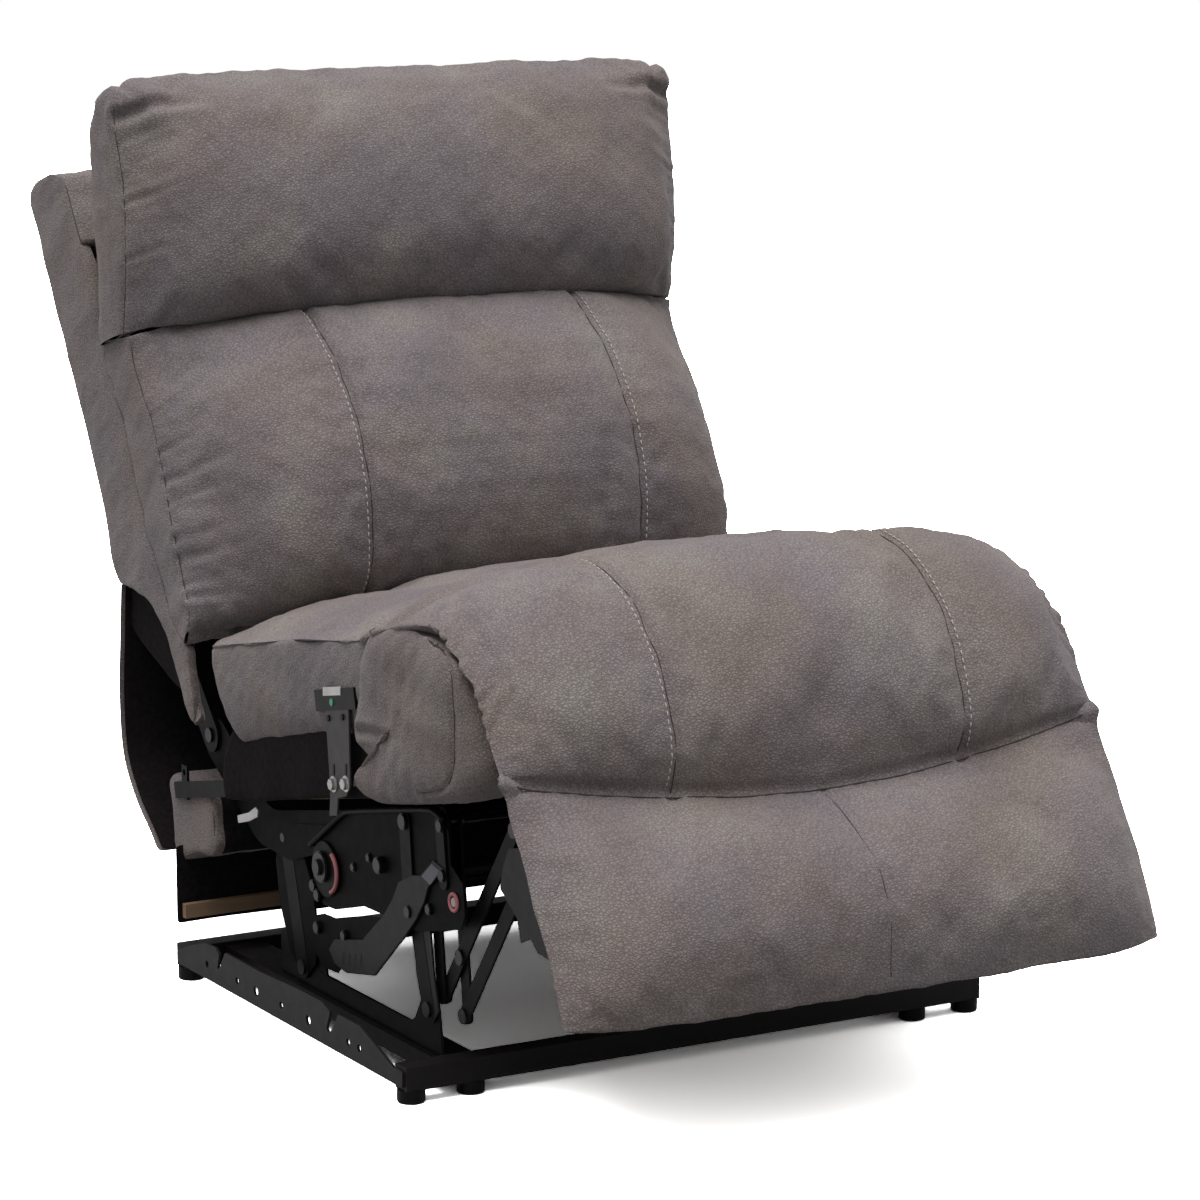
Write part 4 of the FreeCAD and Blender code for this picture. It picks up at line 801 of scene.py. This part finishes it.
def lumbar_cushion():
    """Lower back cushion: bulging front panel, side gussets, flat rear."""
    knots = knots_of(LUMBAR_CROWN)
    outline = (LUMBAR_SEAM, LUMBAR_CROWN, knots, LUMBAR_POWER)
    back = (LUMBAR_BACK, LUMBAR_BACK, knots, LUMBAR_POWER)
    piece = cushion_mesh("lumbar_cover", outline, back, LUMBAR_LENGTH, [STITCH_X], 0.002, 12)
    puff(piece, looseness(piece, (0, -1, 0), [STITCH_X]), slack=0.030, most=0.009)
    subdivide(piece)
    soften_surface(piece, seed=11)
    tucks(piece, outline, LUMBAR_TUCKS)
    paths = []
    for side in SIDES:
        path = seam_line(LUMBAR_SEAM, knots, side, 0.03, 0.955)
        groove(piece, path, *SEAM_GROOVE)
        paths.append(("lumbar_seam", side, path))
        line = laid(piece, column_line(outline, side * STITCH_X, 0.12, 0.97))
        groove(piece, line, *PANEL_GROOVE)
        paths.append(("lumbar_panel_seam", side, line))
    carry([piece] + sew(piece, paths, ["lumbar_panel_seam"]), "backrest")
    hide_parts("lumbar_cushion")


def head_cushion():
    """Headrest cushion with gussets, square upper corners and a pleat in each."""
    knots = knots_of(HEAD_CROWN)
    outline = (HEAD_SEAM, HEAD_CROWN, knots, HEAD_POWER)
    back = (HEAD_BACK, HEAD_REAR_CROWN, knots, HEAD_POWER)
    piece = cushion_mesh("head_cover", outline, back, HEAD_LENGTH, [], 0.003, 8)
    puff(piece, looseness(piece, (0, -1, 0.3)), slack=0.025, most=0.009)
    subdivide(piece)
    shape_corners(piece, HEAD_CORNER, 2)
    move_vertices(piece, vertices(piece) * (HEAD_WIDER - 1, 0, 0))
    soften_surface(piece, seed=23)
    tucks(piece, outline, HEAD_TUCKS)
    paths = []
    for side in SIDES:
        path = seam_line(HEAD_SEAM, knots, side, 0.0, knots[10])
        path = laid(piece, round_corners(path, HEAD_CORNER, 2) * (HEAD_WIDER, 1, 1))
        groove(piece, path, *SEAM_GROOVE)
        paths.append(("head_seam", side, path))
        pleat = [(side * (HALF - inset), y, z) for inset, y, z in HEAD_PLEAT]
        groove(piece, laid(piece, pleat), 0.0055, 0.0065, lips=0.0030, fades=True)
    carry([piece] + sew(piece, paths), "headrest")
    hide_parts("head_cushion")


# ---------------------------------------------------------------- back shell and skirt
SHELL_FRONT = [
    (209, 297), (215, 320), (226, 357), (233, 383), (247, 391), (260, 400), (272, 410), (291, 435),
    (303, 453), (316, 472), (341, 511), (363, 552), (385, 597), (418, 650), (446, 705), (468, 745),
    (499, 793), (519, 825), (530, 842), (537, 855), (545, 864), (556, 867),
]
SHELL_REAR = [
    (213, 295), (236, 313), (262, 345), (288, 384), (303, 400), (319, 411), (340, 418), (385, 420),
    (415, 420), (421, 429), (443, 484), (474, 540), (507, 600), (543, 662), (575, 713), (606, 764),
    (631, 803), (646, 824), (645, 838), (634, 849), (610, 858), (582, 863),
]
HEM_INDEX = 8                                  # rear point at the hem
INNER_INDEX = 16                               # front point down to which the cover wraps
SHELL_THICK = 0.016
SHELL_BULGE, FRONT_BULGE = 0.010, 0.001        # rise of its middle at the rear and at the front
SHELL_ROOF = [                                 # inner turn of the wrap, above the hollow
    (507, 789), (520, 787), (533, 784), (540, 776), (541, 762), (536, 742),
]
SKIRT_LINE = [(416, 421), (423, 352), (428, 283), (417, 215), (386, 176), (340, 140), (328, 128)]


def back_shell():
    """Outside back: rear panel rolled over the top, and two side panels, all one thick cover."""
    knots = knots_of(SHELL_REAR)
    spots = np.unique(np.concatenate([np.linspace(0, 1, 74), knots]))
    front_line, rear_line = smooth_line(SHELL_FRONT, knots, spots), smooth_line(SHELL_REAR, knots, spots)
    panels = [cap(at_x(front_line, side * HALF), at_x(rear_line, side * HALF), 16, (side * 0.003, 0, 0))
              for side in SIDES]
    hem, inner = spots >= knots[HEM_INDEX], spots >= knots[INNER_INDEX]
    wrap = np.concatenate([rear_line[hem], front_line[inner][::-1], np.array(SHELL_ROOF) * MM])
    crown = np.where(np.arange(len(wrap)) < hem.sum(), SHELL_BULGE, FRONT_BULGE)[:, None]
    panels.append(crowned(wrap, wrap + outward(wrap) * crown, across(), 4.0))
    piece = mesh_from_grids("shell_cover", panels, "suede")
    thick = piece.modifiers.new("thick", "SOLIDIFY")
    thick.thickness = SHELL_THICK
    thick.offset = -1
    settle_modifiers(piece)
    subdivide(piece)
    soften_surface(piece, seed=31)
    paths = []
    for side in SIDES:
        path = at_x(wrap[:-len(SHELL_ROOF)], side * HALF)
        paths.append(("shell_seam", side, path))
        groove(piece, path, 0.0012, 0.0026)
    carry([piece] + sew(piece, paths), "backrest")
    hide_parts("back_shell")


def outward(line):
    """Unit directions to the right of a (y, z) line."""
    along = np.gradient(line, axis=0)
    along /= np.linalg.norm(along, axis=1)[:, None]
    return np.column_stack([along[:, 1], -along[:, 0]])


def cloth_sheet(name, grid, finish):
    """Single sheet of cloth on a grid of points."""
    piece = mesh_from_grids(name, [grid], finish, crease=0.0)
    subdivide(piece)
    return piece


def wavy(stations, wave, y, z):
    """Grid of points across x with a wave in y; y and z are columns or rows of the grid."""
    return np.stack([np.broadcast_to(stations, wave.shape), wave + y, np.broadcast_to(z, wave.shape)], axis=2)


def rear_skirt():
    """Panel from the hem of the shell under to the lower rail, black cloth inside."""
    spots = np.linspace(0, 1, 34)
    line = line_through(SKIRT_LINE, spots)
    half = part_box("rear_skirt")[1][0] + 0.010
    for name, inset, finish, slot in (("rear_skirt_cover", 0.0, "suede", "upholstery"),
                                      ("rear_skirt_lining", 0.004, "woven_black", "black_cloth")):
        stations = np.linspace(-half + inset, half - inset, 60)
        fall = line + outward(line) * inset
        wave = 0.0022 * np.sin(9 * stations / half) * np.sin(math.pi * spots)[:, None]
        grid = wavy(stations, wave, fall[:, :1], fall[:, 1:])
        piece = cloth_sheet(name, grid, finish)
        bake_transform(piece)
    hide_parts("rear_skirt")


HEM_TOP = [(276, 372), (303, 406), (340, 422), (385, 426), (414, 426)]
HEM_LOW = [(262, 318), (300, 322), (340, 336), (385, 352), (416, 366)]


def hem_linings():
    """Black cloth that closes each side of the back below the hem."""
    spots = np.linspace(0, 1, 24)
    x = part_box("seat_dust_cover")[1][0] + 0.003
    for side in SIDES:
        upper, lower = (at_x(line_through(line, spots), side * x) for line in (HEM_TOP, HEM_LOW))
        grid = cap(upper, lower, 12, (side * 0.0015, 0, 0))
        piece = cloth_sheet(sided("hem_lining", side), grid, "woven_black")
        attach(piece, "backrest")


# ---------------------------------------------------------------- seat and chaise
COVER_SEAM = [
    (178, 388), (117, 401), (52, 414), (0, 425), (-53, 436), (-131, 448), (-191, 459), (-240, 477),
    (-286, 489), (-326, 497), (-360, 496), (-390, 480), (-424, 458), (-445, 434), (-459, 410),
    (-473, 390), (-483, 377), (-490, 370), (-503, 340), (-521, 312), (-545, 276), (-566, 242),
    (-584, 208), (-597, 181), (-607, 157),
]
COVER_CROWN = [
    (178, 430), (117, 447), (52, 464), (0, 475), (-53, 486), (-110, 499), (-165, 512), (-220, 525),
    (-270, 537), (-310, 546), (-350, 549), (-384, 546), (-423, 529), (-461, 502), (-486, 470),
    (-506, 430), (-521, 388), (-520, 335), (-549, 321), (-583, 301), (-608, 280), (-627, 254),
    (-639, 228), (-642, 205), (-636, 155),
]
COVER_UNDER = [
    (170, 345), (117, 360), (52, 374), (0, 385), (-53, 396), (-110, 408), (-165, 420), (-220, 432),
    (-270, 444), (-310, 455), (-340, 462), (-360, 462), (-385, 455), (-415, 440), (-440, 420),
    (-454, 396), (-462, 376), (-470, 356), (-481, 330), (-495, 300), (-511, 268), (-526, 236),
    (-540, 208), (-553, 182), (-566, 157),
]
COVER_POWER = [2.6] * 7 + [3.2] * 3 + [5.0] * 6 + [3.0, 1.6, 3.4] + [6.0] * 6
COVER_LENGTH = 0.99                            # along the outline, in metres
FOLD_INDEX = 17                                # crown point at the fold over the seat's front edge
SEAT_CORNER = (HALF - 0.022, 0.156)            # centre (x, y) of the rounded rear corners
COVER_TUCKS = [
    (9.3, 0.046, -1.1, 0.0036), (10.3, 0.052, -1.2, 0.0034), (11.2, 0.046, -0.9, 0.0032),
    (12.1, 0.036, -0.8, 0.0028), (13.0, 0.030, -0.7, 0.0022), (14.0, 0.024, -0.6, 0.0016),
]
VALLEY = [(345, -213, 466), (325, -232, 480), (290, -258, 500), (240, -280, 518), (170, -297, 532),
          (80, -308, 540), (0, -312, 542)]


def seat_cover():
    """Seat top that runs on as the chaise pad over the footrest."""
    knots = knots_of(COVER_CROWN)
    outline = (COVER_SEAM, COVER_CROWN, knots, COVER_POWER)
    under = (COVER_SEAM, COVER_UNDER, knots, 6.0)
    piece = cushion_mesh("seat_cover", outline, under, COVER_LENGTH, [STITCH_X], None, 8)
    fold_line = loft(outline, np.array([knots[FOLD_INDEX]]), across([STITCH_X]))[0]
    puff(piece, looseness(piece, (0, -0.6, 0.8), [STITCH_X], [fold_line]), slack=0.025, most=0.008)
    subdivide(piece)
    shape_corners(piece, SEAT_CORNER, 1)
    soften_surface(piece, seed=41)
    valley = np.array([(-x, y, z) for x, y, z in VALLEY] + [(x, y, z) for x, y, z in VALLEY[-2::-1]]) * MM
    groove(piece, laid(piece, valley, 0.02), 0.0075, 0.026, lips=0.002)
    tucks(piece, outline, COVER_TUCKS)
    paths = []
    for side in SIDES:
        line = laid(piece, column_line(outline, side * STITCH_X, knots[9], knots[FOLD_INDEX] - 0.003))
        groove(piece, line, *PANEL_GROOVE)
        paths.append(("chaise_panel_seam", side, line))
    middle = laid(piece, column_line(outline, 0.0, knots[FOLD_INDEX] + 0.004, 0.985))
    groove(piece, middle, 0.0026, 0.0045)
    fold_line = laid(piece, fold_line)
    groove(piece, fold_line, 0.0060, 0.0080)
    made = sew(piece, paths, ["chaise_panel_seam"])
    made.append(seam_shade_line("chaise_cross_seam", piece, fold_line, 0.0008))
    made.append(seam_shade_line("chaise_middle_seam", piece, middle))
    made += sew(piece, [("seat_top_seam", side, seam_line(COVER_SEAM, knots, side, knots[1], knots[8]))
                        for side in SIDES])
    for part in [piece] + made:
        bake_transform(part)
    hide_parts("seat_cushion", "seat_top_pad", "chaise_bridge", "footrest_pad")


SIDE_TOP = [
    (182, 386), (106, 402), (39, 415), (-25, 429), (-80, 439), (-142, 450), (-187, 458), (-230, 473),
]
SIDE_LOW = [
    (182, 384), (174, 366), (171, 349), (163, 332), (151, 316), (139, 304), (122, 294), (97, 299),
    (72, 306), (14, 320), (-34, 331), (-105, 345), (-174, 358), (-205, 362),
]


SIDE_OUTER, SIDE_INNER = 0.344, 0.318          # x of the panel's two faces


def side_panels():
    """Fabric side of the seat below its top seam, drawn in at the lower edge."""
    spots = np.linspace(0, 1, 60)
    upper, lower = line_through(SIDE_TOP, spots), line_through(SIDE_LOW, spots)
    cells = 16
    drawn_in = np.linspace(0, 1, cells + 1) ** 5
    for side in SIDES:
        outer = cap(at_x(upper, side * SIDE_OUTER), at_x(lower, side * 0.342), cells, (side * 0.003, 0, 0))
        outer[:, :, 0] -= side * 0.010 * drawn_in[None, :]
        inner = cap(at_x(upper, side * SIDE_INNER), at_x(lower, side * SIDE_INNER), cells)
        edges = [cap(outer[:, end], inner[:, end], 4) for end in (0, -1)]
        edges += [cap(outer[end], inner[end], 4) for end in (0, -1)]
        piece = mesh_from_grids(sided("seat_side", side), [outer, inner] + edges, "suede")
        subdivide(piece)
        shape_corners(piece, (0.322, 0.158), 1)
        soften_surface(piece, seed=51, height=0.0014)
        carry([piece], "seat")


BOLSTER_RIM = [
    (-178, 361), (-187, 390), (-191, 408), (-194, 428), (-201, 447), (-214, 463), (-235, 474),
    (-268, 484), (-304, 488), (-339, 487), (-367, 483), (-384, 474), (-391, 459), (-392, 412),
    (-391, 379), (-387, 358), (-378, 346), (-362, 338), (-320, 325), (-265, 308), (-206, 300),
    (-184, 301), (-168, 305), (-182, 314), (-198, 326), (-213, 339), (-198, 345), (-182, 352),
]
BOLSTER_WALL = BOLSTER_RIM[:7] + [
    (-268, 483), (-304, 486), (-340, 486), (-370, 481), (-392, 468), (-412, 447), (-429, 412),
    (-438, 380), (-432, 361), (-414, 347), (-386, 333), (-336, 319), (-268, 304), (-206, 298), (-184, 300),
] + BOLSTER_RIM[-6:]
BOLSTER_FOLD = [(-186, 366), (-215, 371), (-250, 373), (-298, 378)]
FRONT_SEAM = slice(9, 19)                      # part of the rim that is sewn to the front boxing


def ring_of(points, count=150):
    """Closed smooth outline in metres, from (y, z) millimetre points."""
    doubled = list(points) * 3
    knots = knots_of(doubled)
    start, stop = knots[len(points)], knots[2 * len(points)]
    return smooth_line(doubled, knots, start + (stop - start) * np.linspace(0, 1, count + 1))


def piece_from_rings(name, rings, crease):
    """Closed piece through rings given as (outline, x)."""
    return mesh_from_grids(name, [np.stack([at_x(ring, x) for ring, x in rings])], "suede", crease)


def between(first, second, share):
    return first + (second - first) * share


def bolsters():
    """Stuffed block under each front corner of the seat, with a sewn front boxing."""
    rim, wall = ring_of(BOLSTER_RIM), ring_of(BOLSTER_WALL)
    middle = np.array((-0.292, 0.400))
    boxing = np.array(BOLSTER_RIM[FRONT_SEAM], float) * MM
    for side in SIDES:
        rings = [(between(middle, rim, share), side * (0.3535 - 0.0085 * share**6))
                 for share in (0.0, 0.15, 0.3, 0.45, 0.6, 0.72, 0.82, 0.90, 0.96)]
        rings.append((rim, side * 0.3440))
        rings += [(between(rim, wall, share), side * x)
                  for share, x in ((0.30, 0.3425), (0.60, 0.3385), (0.85, 0.3320), (1.0, 0.3220))]
        rings += [(wall, side * 0.300), (wall, side * 0.280)]
        rings += [(between(middle, wall, share), side * 0.272) for share in (0.95, 0.6, 0.3, 0.0)]
        piece = piece_from_rings(sided("seat_bolster", side), rings, 0.4)
        subdivide(piece)
        soften_surface(piece, seed=53, height=0.0016)
        seam_path = laid(piece, at_x(boxing, side * 0.346))
        groove(piece, seam_path, 0.0022, 0.0030, lips=0.0010)
        groove(piece, laid(piece, at_x(between(middle, boxing, 0.93), side * 0.352)), 0.0012, 0.0030)
        fold = at_x(np.array(BOLSTER_FOLD) * MM, side * 0.352)
        groove(piece, laid(piece, fold), 0.0050, 0.0050, lips=0.0018, fades=True)
        carry([piece, seam_shade_line(sided("seat_bolster_seam", side), piece, seam_path)], "seat")


APRON_TOP = [(148, 300), (97, 302), (14, 324), (-105, 349), (-200, 366), (-236, 372)]
APRON_LOW = [(163, 221), (110, 229), (20, 249), (-75, 270), (-152, 286), (-236, 303)]


def dust_aprons():
    """Black cloth along each side rail of the seat, turned under at its rear and lower edges."""
    spots = np.linspace(0, 1, 50)
    upper, lower = line_through(APRON_TOP, spots), line_through(APRON_LOW, spots)
    for side in SIDES:
        face = cap(at_x(upper, side * 0.331), at_x(lower, side * 0.333), 14, (side * 0.002, 0, 0))
        face[:, :, 1] += 0.010 * np.sin(np.linspace(0, math.pi, 15))[None, :] * (1 - spots[:, None]) ** 4
        wave = 0.0012 * np.sin(26 * spots + 1.0)[:, None] * np.linspace(0, 1, 15)[None, :]
        face[:, :, 0] += side * wave
        under = cap(face[:, -1], face[:, -1] - np.array([side * 0.045, 0, -0.004]), 5)
        grid = np.concatenate([face, under[:, 1:]], axis=1)
        back = cap(grid[0] - np.array([side * 0.020, 0.004, 0]), grid[0], 3)
        grid = np.concatenate([back.transpose(1, 0, 2)[:-1], grid], axis=0)
        piece = cloth_sheet(sided("dust_apron", side), grid, "woven_black")
        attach(piece, "seat")
        if side < 0:
            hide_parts("seat_dust_cover")


RAIL_OUTLINE = [
    (224, 206), (227, 209), (280, 211), (331, 213), (337, 208), (331, 168), (325, 128), (320, 123),
    (270, 135), (221, 148), (216, 154), (220, 180),
]


def rear_rail():
    """Upholstered rail behind the mechanism, between its two arms."""
    ring = ring_of(RAIL_OUTLINE, 96)
    middle = ring.mean(axis=0)
    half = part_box("seat_side_rails")[1][0] - 0.0008
    ends = [(0.0, 0.0), (0.35, 0.0), (0.7, 0.0), (0.90, 0.0004), (0.97, 0.0016)]
    rings = [(between(middle, ring, share), inset - half) for share, inset in ends]
    rings += [(ring, x) for x in np.linspace(0.005 - half, half - 0.005, 50)]
    rings += [(between(middle, ring, share), half - inset) for share, inset in reversed(ends)]
    piece = piece_from_rings("rear_rail_cover", rings, 0.3)
    piece.data.materials.append(FINISH["woven_black"])
    subdivide(piece)
    for face in piece.data.polygons:
        if face.normal.y < -0.5 and abs(face.center.x) < half - 0.012:
            face.material_index = 1
    soften_surface(piece, seed=61, height=0.0008)
    paths = []
    for side in SIDES:
        path = laid(piece, at_x(between(middle, ring, 0.97), side * half))
        groove(piece, path, 0.0010, 0.0022)
        paths.append(("rear_rail_seam", side, path))
    carry([piece] + sew(piece, paths), "seat")
    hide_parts("lower_rear_rail")


def valance():
    """Stiff black flap hung from the lower rear rail."""
    low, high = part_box("rear_valance")
    stations, levels = np.linspace(low[0], high[0], 70), np.linspace(high[2] + 0.012, low[2], 14)
    wave = 0.0016 * np.sin(40 * stations)[None, :] * np.linspace(0.2, 1, 14)[:, None]
    grid = wavy(stations, wave, (low[1] + high[1]) / 2 + 0.001, levels[:, None])
    piece = cloth_sheet("rear_flap", grid, "woven_black")
    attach(piece, "seat")
    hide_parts("rear_valance")


# ---------------------------------------------------------------- switch and mechanism details
def prism(name, outline, x_from, x_to, finish, body="seat", bevel=0.0006, slot=None):
    """Plate cut from a (y, z) millimetre outline, with softened edges."""
    count = len(outline)
    points = [(x, y * MM, z * MM) for x in (x_from, x_to) for y, z in outline]
    faces = [tuple(range(count)), tuple(reversed(range(count, 2 * count)))]
    faces += [(i, i + count, (i + 1) % count + count, (i + 1) % count) for i in range(count)]
    mesh = new_mesh(name, points, faces)
    work = bmesh.new()
    work.from_mesh(mesh)
    bmesh.ops.recalc_face_normals(work, faces=work.faces)
    bmesh.ops.bevel(work, geom=list(work.edges), offset=bevel, segments=2, affect="EDGES")
    work.to_mesh(mesh)
    work.free()
    mesh.materials.append(FINISH[finish])
    piece = add_object(name, mesh)
    carry([piece], body)
    return piece


def disc(centre, radius, sides=20):
    """Round outline about a (y, z) millimetre centre."""
    turns = [2 * math.pi * i / sides for i in range(sides)]
    return [(centre[0] + radius * math.cos(turn), centre[1] + radius * math.sin(turn)) for turn in turns]


def bar_outline(first, second, width, sides=10):
    """Link outline with round ends between two (y, z) millimetre pivots."""
    first, second = np.array(first, float), np.array(second, float)
    start = math.atan2(*(second - first)[::-1])
    points = []
    for centre, base in ((second, start - math.pi / 2), (first, start + math.pi / 2)):
        for turn in base + np.linspace(0, math.pi, sides):
            points.append(tuple(centre + width / 2 * np.array([math.cos(turn), math.sin(turn)])))
    return points


def red_washer(name, side, centre, x, radius, thick, turns=(0, 2)):
    """Round washer edge in the plane of the side plates, from one turn to another in half turns."""
    path = [(side * x, centre[0] * MM + radius * math.cos(turn), centre[1] * MM + radius * math.sin(turn))
            for turn in np.linspace(turns[0] * math.pi, turns[1] * math.pi, 40)]
    piece = mesh_from_parts(sided(name, side), [tube(path, thick, 8)], "red_washer")
    carry([piece], "seat")


STRIP = [
    (-115, 376), (-169, 388), (-171, 305), (-162, 293), (-143, 287), (-140, 268), (-122, 264), (-125, 292),
]


def switch_details():
    """Strip that carries the switch box, with its bolts, screws, blank label and lamp."""
    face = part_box("switch_housing")[0][0]
    strip = prism("switch_strip", STRIP, face + 0.0005, face + 0.0025, "strip_steel")
    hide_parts("switch_bracket")

    def on_face(name, outline, out, into, finish, **more):
        prism(name, outline, face - out, face + into, finish, **more)

    for index, (y, z) in enumerate(((-134, 300), (-162, 306))):
        on_face("switch_bolt_%d" % index, disc((y, z), 6.5, 6), 0.0045, 0.0005, "zinc")
        on_face("switch_washer_%d" % index, disc((y, z), 8.5), 0.0006, 0.0006, "zinc", bevel=0.0002)
        on_face("switch_slot_%d" % index, bar_outline((y, z + 11), (y, z + 19), 4), 0.0001, 0.0006,
                "black_plastic", bevel=0.0001)
    for index, place in enumerate(((-124, 367), (-156, 374))):
        on_face("switch_screw_%d" % index, disc(place, 3.4), 0.0012, 0.0006, "black_plastic", bevel=0.0004,
                slot="black_steel")
    on_face("switch_label", [(-112, 397), (-152, 405), (-152, 396), (-112, 388)], 0.0003, 0.001, "label",
            bevel=0.0001)
    on_face("switch_lamp", disc((-132, 385), 4.0), 0.0010, 0.001, "lamp", bevel=0.0004)


STOP_ARM = [
    (-268, 244), (-291, 240), (-257, 214), (-248, 196), (-230, 174), (-203, 149), (-181, 131), (-162, 115),
    (-135, 92), (-70, 79), (-42, 83), (-29, 96), (-42, 109), (-108, 124), (-131, 142), (-156, 161),
    (-177, 183), (-191, 204), (-222, 218), (-240, 222),
]
ARM_PATCH = [(-266, 240), (-284, 236), (-262, 217), (-243, 222)]
UPPER_COVER = [
    (52, 214), (14, 196), (2, 172), (2, 146), (-12, 139), (-39, 140), (-106, 159), (-150, 160),
    (-225, 160), (-268, 170), (-322, 184), (-330, 200), (-326, 232), (-300, 246), (-296, 281),
    (-276, 294), (-205, 282), (-68, 251), (-20, 228),
]
LOWER_COVER = [
    (12, 122), (-12, 130), (-39, 131), (-110, 150), (-160, 158), (-112, 108), (-60, 88), (-44, 72),
    (-8, 70), (12, 84),
]
FLANGE = [(14, 199), (-28, 226), (-68, 252), (-111, 262), (-183, 278), (-268, 296), (-290, 290)]
REAR_PLATE = [(116, 160), (106, 112), (82, 66), (60, 50), (38, 50), (20, 66), (14, 100), (26, 150), (62, 204),
              (100, 210)]
STAND_PLATE = [(112, 82), (112, 37), (-6, 37), (2, 66), (26, 88), (84, 92)]
FRONT_PLATE = [(-205, 172), (-243, 172), (-252, 118), (-262, 84), (-248, 68), (-228, 72), (-212, 113)]
BRACKET_PLATE = [
    (-404, 284), (-440, 292), (-496, 218), (-498, 200), (-484, 190), (-462, 192), (-448, 203), (-428, 194),
    (-421, 217), (-386, 240), (-392, 262),
]
SPRING_CLIP = [(150, 205), (122, 214), (104, 224), (97, 222), (99, 214), (120, 205), (148, 197)]
ARM_SLOTS = [(-63, 94), (-77, 96), (-91, 99), (-104, 102)]
BOLT_HEADS = [                                 # (y, z) place, radius and rise in millimetres
    ((-16, 182), 17, 9), ((-16, 182), 9, 13), ((8, 156), 7, 6), ((-2, 148), 7, 6), ((-203, 270), 9, 7),
    ((-213, 178), 7, 7), ((-150, 213), 9, 9), ((-120, 214), 5, 4), ((-282, 282), 7, 6), ((-286, 232), 7, 6),
    ((-84, 196), 5, 4), ((-64, 118), 6, 6), ((-255, 190), 6, 5), ((0, 112), 7, 6),
]


def side_plate(name, side, outline, inner, outer, finish="black_steel", body="seat", bevel=0.0005):
    """Plate on one side of the chair, between two distances from its middle."""
    prism(sided(name, side), outline, side * inner, side * outer, finish, body, bevel)


def mechanism_details():
    """Cover plates, stop arm, wider links and coloured washers on each side of the mechanism."""
    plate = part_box("seat_plates")[1][0]
    link_in, link_out = (corner[0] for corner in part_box("front_swing_link_right"))
    on_plate = [
        ("stop_arm", STOP_ARM, 0.0016, 0.0046, "satin_steel"),
        ("stop_arm_patch", ARM_PATCH, 0.0040, 0.0050, "grey_patch", "seat", 0.0002),
    ]
    for index, (y, z) in enumerate(ARM_SLOTS):
        hole = bar_outline((y, z - 5), (y - 1, z + 5), 3.4)
        on_plate.append(("stop_arm_slot_%d" % index, hole, 0.0040, 0.0048, "black_plastic", "seat", 0.0001))
    on_plate += [
        ("upright_link", bar_outline((-203, 270), (-213, 176), 24), 0.0014, 0.0036),
        ("front_post", bar_outline((-279, 284), (-287, 226), 18), 0.0014, 0.0036),
        ("hub_plate", disc((-20, 180), 30, 28), 0.0014, 0.0040),
    ]
    for index, (place, radius, rise) in enumerate(BOLT_HEADS):
        head = ("cover_bolt_%d" % index, disc(place, radius), 0, rise * MM, "black_zinc", "seat", 0.0012)
        on_plate.append(head)
    for side in SIDES:
        side_plate("upper_cover", side, UPPER_COVER, plate + 0.0002, plate + 0.0013, "deep_black")
        side_plate("lower_cover", side, LOWER_COVER, plate + 0.0002, plate + 0.0013, "deep_black")
        flange = eased(dense(at_x(np.array(FLANGE) * MM, side * (plate + 0.004)), 0.006), 3)
        carry([mesh_from_parts(sided("cover_flange", side), [tube(flange, 0.0032, 8)], "black_steel")],
              "seat")
        for name, outline, low, high, *more in on_plate:
            side_plate(name, side, outline, plate + low, plate + high, *more)
        red_washer("hub_washer", side, (-28, 180), plate + 0.0050, 0.0230, 0.0024, (0.66, 1.38))
        red_washer("drive_washer", side, (-307, 209), plate + 0.0020, 0.0085, 0.0020)
        side_plate("drive_hub", side, disc((-307, 209), 5), plate, plate + 0.0026, "pale_hub")
        by_link = [
            ("rear_plate", REAR_PLATE, link_in + 0.0004, link_out - 0.0004, "deep_black", "rear_swing"),
            ("front_plate", FRONT_PLATE, link_in + 0.0004, link_out - 0.0004, "satin_steel",
             sided("front_swing", side)),
            ("stand_plate", STAND_PLATE, link_in - 0.0032, link_in - 0.0008, "black_steel", "base"),
            ("bracket_plate", BRACKET_PLATE, link_in - 0.0034, link_in - 0.0010, "satin_steel", "footrest"),
        ]
        for name, *more in by_link:
            side_plate(name, side, *more)
    outer = -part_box("seat_dust_cover")[1][0]
    prism("spring_clip", SPRING_CLIP, outer - 0.0012, outer + 0.0012, "zinc")


# ---------------------------------------------------------------- the rest
NODE_FINISH = {                                # finish of a CAD node, by its name or its material slot
    "arm_bracket_left": "satin_steel", "arm_bracket_right": "satin_steel", "base_front_tube": "satin_steel",
    "seat_plates": "deep_black", "upholstery": "suede", "black_cloth": "woven_black", "zinc": "black_zinc",
}


def plain_nodes():
    """Gives every shown CAD node its finish."""
    slot_of = {entry["node"]: entry["material_slot"] for entry in frame["record"]["subparts"]}
    for name, shown in frame["nodes"].items():
        slot = slot_of[name]
        shown.data.materials.clear()
        shown.data.materials.append(FINISH[NODE_FINISH.get(name, NODE_FINISH.get(slot, slot))])


make_stage()
make_finishes()
plain_nodes()
lumbar_cushion()
head_cushion()
back_shell()
rear_rail()
rear_skirt()
hem_linings()
seat_cover()
side_panels()
bolsters()
dust_aprons()
valance()
switch_details()
mechanism_details()
